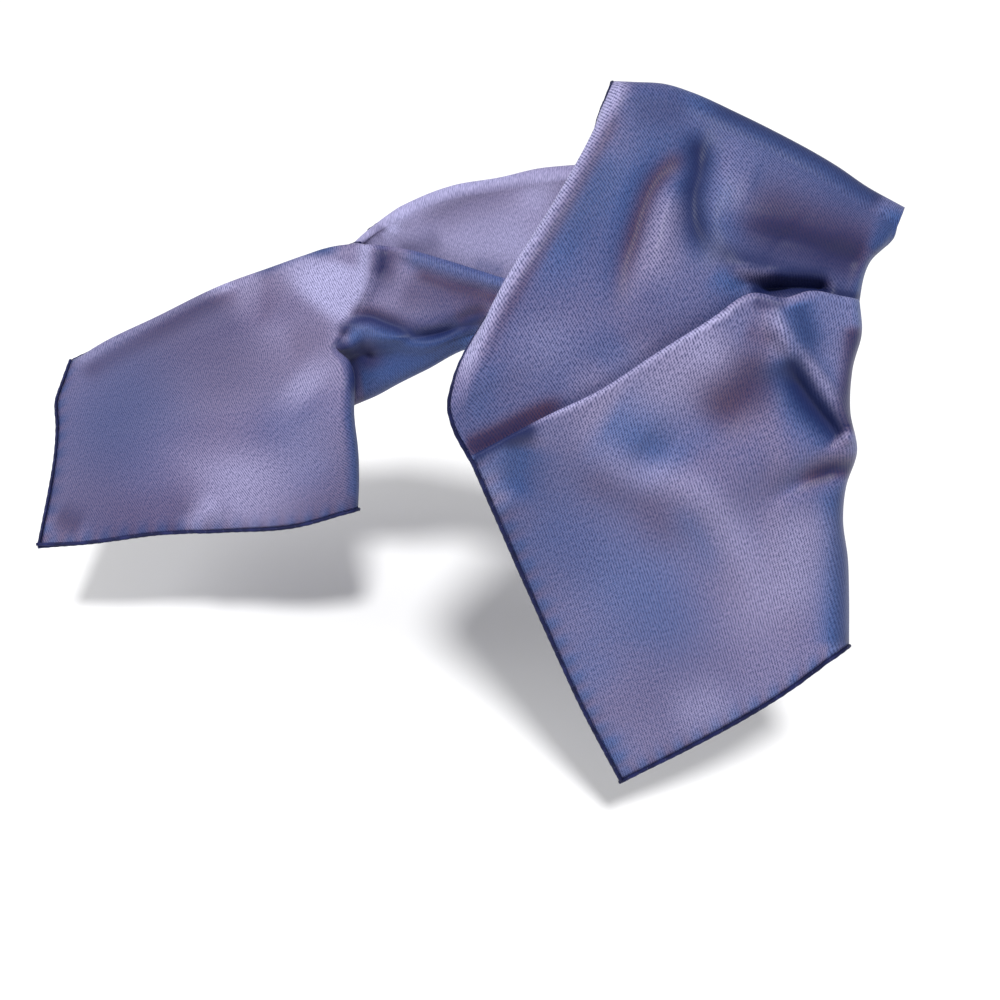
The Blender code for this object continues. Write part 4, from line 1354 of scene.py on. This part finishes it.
topSteps = 8              # across the turned top of both
forkRows = 9              # over which both ease into the line that they share
tail = {
    "nearAlong": 76,
    "endAlong": 104,
    "beforeFork": 44,
    "pastForkNear": 40,
    "pastForkEnd": 64,
    "folds": (
        (8, 5, 0.1, 0.2, (336, 336), (346, 328), (368, 328), (384, 336), (412, 344), (440, 342), (482, 318)),
        (8, -5, 0.2, 0.2, (348, 322), (368, 318), (388, 324), (410, 332), (434, 332), (462, 322), (494, 302)),
        (7, -3, 0.2, 0.1, (386, 250), (408, 266), (440, 278), (468, 288), (510, 294)),
        (7, -4, 0.3, 0.4, (356, 339), (368, 350), (373, 364)),
        (9, 6, 0.0, 0.4, (372, 238), (373, 263), (369, 281), (361, 303), (351, 323)),
        (8, -3, 0.0, 0.4, (390, 239), (390, 265), (384, 286)),
        (11, 3.5, 0.2, 0.4, (194, 541), (206, 516), (230, 496)),
        (10, -2, 0.2, 0.4, (178, 541), (186, 518), (196, 500)),
        (46, -3, 0.4, 0.4, (200, 320), (188, 420), (176, 500)),
        (40, -3, 0.4, 0.4, (290, 400), (318, 500)),
        (26, -2.5, 0.3, 0.3, (254, 292), (300, 340), (330, 330)),
        (22, 2, 0.3, 0.3, (246, 276), (300, 310)),
    ),
    # pale strokes are painted highlights, maroon and navy strokes painted shade, blue strokes the silk's blue
    # and painted shade
    "tints": (
        ("navy", 10, 0.62, 0.15, 0.5, (381, 246), (380, 274), (372, 306)),
        ("maroon", 9, 0.50, 0.05, 0.4, (388, 250), (386, 270), (380, 292)),
        ("pale", 6, 0.85, 0.05, 0.2, (367, 243), (365, 262), (358, 286), (350, 307), (341, 324)),
        ("pale", 28, 1.0, 0.2, 0.3, (344, 256), (332, 290), (314, 318)),
        ("blue", 9, 0.75, 0.2, 0.05, (396, 253), (430, 263), (470, 274), (506, 284)),
        ("navy", 7, 0.10, 0.2, 0.05, (396, 252), (430, 261), (470, 271), (506, 280)),
        ("maroon", 6, 0.90, 0.2, 0.05, (410, 271), (440, 283), (470, 292), (500, 299)),
        (
            "maroon", 7, 0.95, 0.1, 0.1,
            (346, 320), (368, 314), (388, 320), (410, 329),
            (434, 331), (462, 323), (494, 304),
        ),
        (
            "navy", 5, 0.90, 0.05, 0.1,
            (339, 336), (349, 326), (368, 319), (388, 325),
            (410, 333), (434, 335), (462, 327), (490, 311),
        ),
        ("blue", 14, 1.0, 0.05, 0.05, (346, 334), (384, 340), (412, 348), (440, 348), (486, 330)),
        ("navy", 20, 0.42, 0.05, 0.1, (356, 348), (404, 354), (466, 338)),
        ("blue", 30, 1.0, 0.05, 0.05, (358, 376), (404, 368), (470, 346)),
        ("maroon", 9, 0.55, 0.3, 0.4, (356, 340), (368, 354), (376, 374)),
        ("navy", 8, 0.60, 0.2, 0.4, (350, 336), (362, 350), (370, 372)),
        ("navy", 5, 0.95, 0.1, 0.2, (334, 338), (349, 352), (355, 370), (354, 400)),
        ("maroon", 16, 0.30, 0.2, 0.2, (396, 290), (440, 300), (490, 302)),
        ("navy", 20, 0.20, 0.2, 0.2, (396, 286), (440, 300), (490, 302)),
        ("maroon", 9, 0.70, 0.1, 0.2, (78, 378), (120, 354), (170, 325), (215, 301), (248, 290)),
        ("pale", 5, 0.95, 0.1, 0.1, (70, 367), (110, 343), (160, 317), (210, 292), (244, 280)),
        ("blue", 5, 0.95, 0.2, 0.2, (244, 276), (280, 262), (310, 253), (346, 246)),
        ("navy", 5, 0.45, 0.2, 0.2, (248, 275), (280, 262), (310, 253), (340, 247)),
        ("blue", 50, 0.60, 0.4, 0.4, (190, 330), (130, 400), (90, 460), (70, 500)),
        ("navy", 58, 0.50, 0.1, 0.1, (226, 284), (170, 350), (110, 430), (62, 540)),
        ("blue", 34, 0.55, 0.4, 0.3, (262, 380), (296, 440), (322, 505)),
        ("pale", 24, 0.25, 0.4, 0.4, (280, 410), (305, 450), (322, 490)),
        ("pale", 30, 0.80, 0.4, 0.4, (300, 300), (332, 262)),
        ("pale", 20, 0.5, 0.4, 0.4, (232, 284), (270, 286)),
        ("pale", 26, 0.5, 0.4, 0.4, (288, 372), (320, 400)),
        ("maroon", 22, 0.22, 0.3, 0.3, (240, 280), (262, 300), (284, 316)),
        ("maroon", 16, 0.24, 0.3, 0.3, (282, 346), (312, 342), (340, 332)),
        ("maroon", 12, 0.7, 0.3, 0.3, (54, 514), (84, 530)),
        ("maroon", 20, 0.30, 0.4, 0.4, (80, 530), (170, 510), (230, 500)),
        ("blue", 6, 0.8, 0.2, 0.1, (353, 400), (356, 440), (355, 500)),
        ("pale", 14, 0.6, 0.3, 0.3, (190, 540), (206, 516), (226, 500)),
        ("pale", 44, 0.70, 0.4, 0.4, (250, 430), (240, 490), (200, 530)),
        ("maroon", 30, 0.18, 0.4, 0.4, (240, 330), (236, 420)),
    ),
    "wale": -50,
    "ribs": 0.8,
    "endRibs": 0.9,
    # where the end shows its lines as strongly as the near layers
    "ribbedSide": (60, 0.0, 0.0, [(372, 250), (366, 330), (352, 400), (356, 512)]),
    # pale and navy of both parts are painted light and painted shade for how brightly each is lit
    "overall": (0.32, 0.14, 0.03, 0.22),
    "endOverall": (0.24, 0.14, 0.06, 0.20),
}

forkColumn = topSteps + tail["beforeFork"]
nearLayer = drape(
    near=Edge([nearTop[0], (-135.0, -32.0, 93), nearFoot[0]]),
    far=Edge(nearLeft, turn=turnNearLeft),
    left=Edge(nearTop, turn=turnNearTop, steps=topSteps),
    right=Edge(nearFoot, turn=turnNearFoot, steps=8),
    across=tail["beforeFork"] + tail["pastForkNear"] + 1,
    along=tail["nearAlong"],
    folds=tail["folds"],
    farPlaces=placesPast(nearLeft, len(aboveFork) - 1, tail["beforeFork"], tail["pastForkNear"]),
)
end = drape(
    near=Edge(leftFoldSide, turn=turnLeftFold, steps=8),
    far=Edge(leftHemSide, trim=hemRoom),
    left=Edge(leftTop, turn=turnLeftTop, steps=topSteps),
    right=Edge(leftEnd, trim=hemRoom),
    across=tail["beforeFork"] + tail["pastForkEnd"] + 1,
    along=tail["endAlong"],
    folds=tail["folds"],
    nearPlaces=placesPast(leftFoldSide, len(aboveFork) - 1, tail["beforeFork"], tail["pastForkEnd"]),
)
# above the fork the near layers and the end are one cloth, so their edges meet point for point
shared = (nearLayer[-1, : forkColumn + 1] + end[0, : forkColumn + 1]) / 2
for sheetRows, row, step in ((nearLayer, -1, -1), (end, 0, 1)):
    gap = shared - sheetRows[row, : forkColumn + 1]
    for k in range(forkRows):
        sheetRows[row + step * k, : forkColumn + 1] += (1 - k / forkRows) ** 2 * gap
end, sideRun = puckered(end, "far")
end, endRun = puckered(end, "right")
tailPiece = sheetOf(
    "tailCloth",
    [
        (
            nearLayer,
            tintsAndLightOf(nearLayer, tail["overall"], tail["tints"]),
            weaveOf(nearLayer, tail["wale"]),
            tail["ribs"],
        ),
        (
            end,
            tintsAndLightOf(end, tail["endOverall"], tail["tints"], (sideRun, endRun)),
            weaveOf(end, tail["wale"]),
            tail["endRibs"] + (tail["ribs"] - tail["endRibs"]) * strokeOn(end, *tail["ribbedSide"]),
        ),
    ],
    silkLook,
)
print("tail draped")

beside = cloth["hem"] / 2 + 0.1
rolls = {}
for name, surface, which, kept in (
    ("hem_front_side_outer", fall, "left", {"lift": beside, "rows": (0, fallBody)}),
    ("hem_front_side_inner", fall, "left", {"lift": -beside, "rows": (0, fallBody)}),
    ("hem_front_end_outer", fall, "near", {"lift": -beside, "start": -hemRoom, "end": 1.2}),
    ("hem_front_end_inner", fall, "near", {"lift": beside, "start": -hemRoom, "end": 1.2}),
    ("hem_upper_side", overTop, "left", {"start": 5, "rows": (0, backStart)}),
    ("hem_back_side", overTop, "left", {"rows": (backStart, len(overTop))}),
    ("hem_tail_side", layer, "left", {"start": 1, "end": 14}),
    ("hem_left_top", end, "left", {"start": 15}),
    ("hem_left_side_outer", end, "far", {"lift": -beside}),
    ("hem_left_side_inner", end, "far", {"lift": beside}),
    ("hem_left_end_outer", end, "right", {"lift": beside, "end": -hemRoom}),
    ("hem_left_end_inner", end, "right", {"lift": -beside, "end": -hemRoom}),
):
    words = name.split("_")
    pieceName = words[0] + "".join(w.title() for w in words[1:])
    piece, roll = rolled(pieceName, surface, which, edgeLook, seed=len(rolls) * 1.7, **kept)
    rolls[name] = (piece, roll)
    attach(piece, "root")
    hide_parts(name)
stitches = stitchesOn("hemStitches", [roll for piece, roll in rolls.values()], threadLook)
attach(stitches, "root")
print("edges rolled and stitched")

hems = {name: piece for name, (piece, roll) in rolls.items()}
frontHems = [hems[n] for n in hems if n.startswith("hem_front")]
leftHems = [hems[n] for n in hems if n.startswith("hem_left")]
upperHems = [hems["hem_upper_side"], hems["hem_back_side"]]
# width and length of the cut of what shows, in metres, and its area, as none of them is a rectangle
for piece, nodes, flat, area, goesWith in (
    (fallPiece, ("front_fall",), (0.230, 0.240), 0.0418, frontHems + [stitches]),
    (upperPiece, ("upper_front", "back_run"), (0.227, 0.348), 0.0471, upperHems),
    (layerPiece, ("tail_upper_layer",), (0.077, 0.186), 0.0090, [hems["hem_tail_side"]]),
    (tailPiece, ("tail_near_layer", "left_end"), (0.189, 0.412), 0.0469, leftHems),
):
    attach(piece, "root")
    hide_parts(*nodes)


# floor, light and camera

studio = {
    "floorDrop": 0.055,   # below the scarf's lowest point
    "floor": (0.93, 0.93, 0.93, 1),
    "world": 0.43,
    "frameWidth": 500.0,  # mm across the picture at the hold point
    "sensor": 36.0,
    "sun": ((0.06, -0.40, 0.92), 2.48, 9.0),   # where it stands, strength, breadth in degrees
    # place, aim, size and power
    "left": ((-1.20, 0.15, 0.60), (-0.19, 0.04, -0.12), 0.90, 6.0),
}


def madeFloor():
    low = cadBox[0]
    mesh = bmesh.new()
    bmesh.ops.create_grid(mesh, x_segments=1, y_segments=1, size=12)
    bmesh.ops.translate(mesh, verts=mesh.verts, vec=(0, 4, low[2] - studio["floorDrop"]))
    data = bpy.data.meshes.new("floor")
    mesh.to_mesh(data)
    mesh.free()
    finish = Finish("pale floor")
    place = finish.node("ShaderNodeTexCoord", output=3)
    grain = finish.node("ShaderNodeTexNoise", Vector=place, Scale=8.0, Detail=2.0)
    finish.set(Base_Color=finish.mix(grain, studio["floor"], (0.90, 0.90, 0.90, 1)), Roughness=0.9)
    data.materials.append(finish.material)
    floor = bpy.data.objects.new("floor", data)
    bpy.context.collection.objects.link(floor)


def lightFrom(name, kind, strength, way, pointing):
    data = bpy.data.lights.new(name, kind)
    data.energy = strength
    light = bpy.data.objects.new(name, data)
    light.rotation_mode = "QUATERNION"
    light.rotation_quaternion = Vector(way).to_track_quat(pointing, "Y")
    bpy.context.collection.objects.link(light)
    return light


madeFloor()
way, strength, breadth = studio["sun"]
sun = lightFrom("sunLight", "SUN", strength, way, "Z")
sun.data.angle = math.radians(breadth)
place, aim, size, power = studio["left"]
left = lightFrom("leftLight", "AREA", power, Vector(aim) - Vector(place), "-Z")
left.location = place
left.data.shape = "DISK"
left.data.size = size
world = bpy.data.worlds.new("studio")
world.use_nodes = True
world.node_tree.nodes["Background"].inputs[0].default_value = (1, 1, 1, 1)
world.node_tree.nodes["Background"].inputs[1].default_value = studio["world"]
bpy.context.scene.world = world

cosine, sine = math.cos(looking["tilt"]), math.sin(looking["tilt"])
lookRight, lookUp, lookAway = Vector((1, 0, 0)), Vector((0, sine, cosine)), Vector((0, cosine, -sine))
place = (
    lookRight * looking["axisAcross"] + lookUp * looking["axisUp"] - lookAway * looking["distance"]
) * mm
cameraData = bpy.data.cameras.new("camera")
cameraData.sensor_width = studio["sensor"]
cameraData.lens = studio["sensor"] * looking["distance"] / studio["frameWidth"]
cameraData.clip_start = 0.01
camera = bpy.data.objects.new("camera", cameraData)
bpy.context.collection.objects.link(camera)
turned = Matrix((lookRight, lookUp, -lookAway)).transposed().to_4x4()
camera.matrix_world = Matrix.Translation(place) @ turned
bpy.context.scene.camera = camera
bpy.context.scene.view_settings.view_transform = "Standard"
print("studio set")
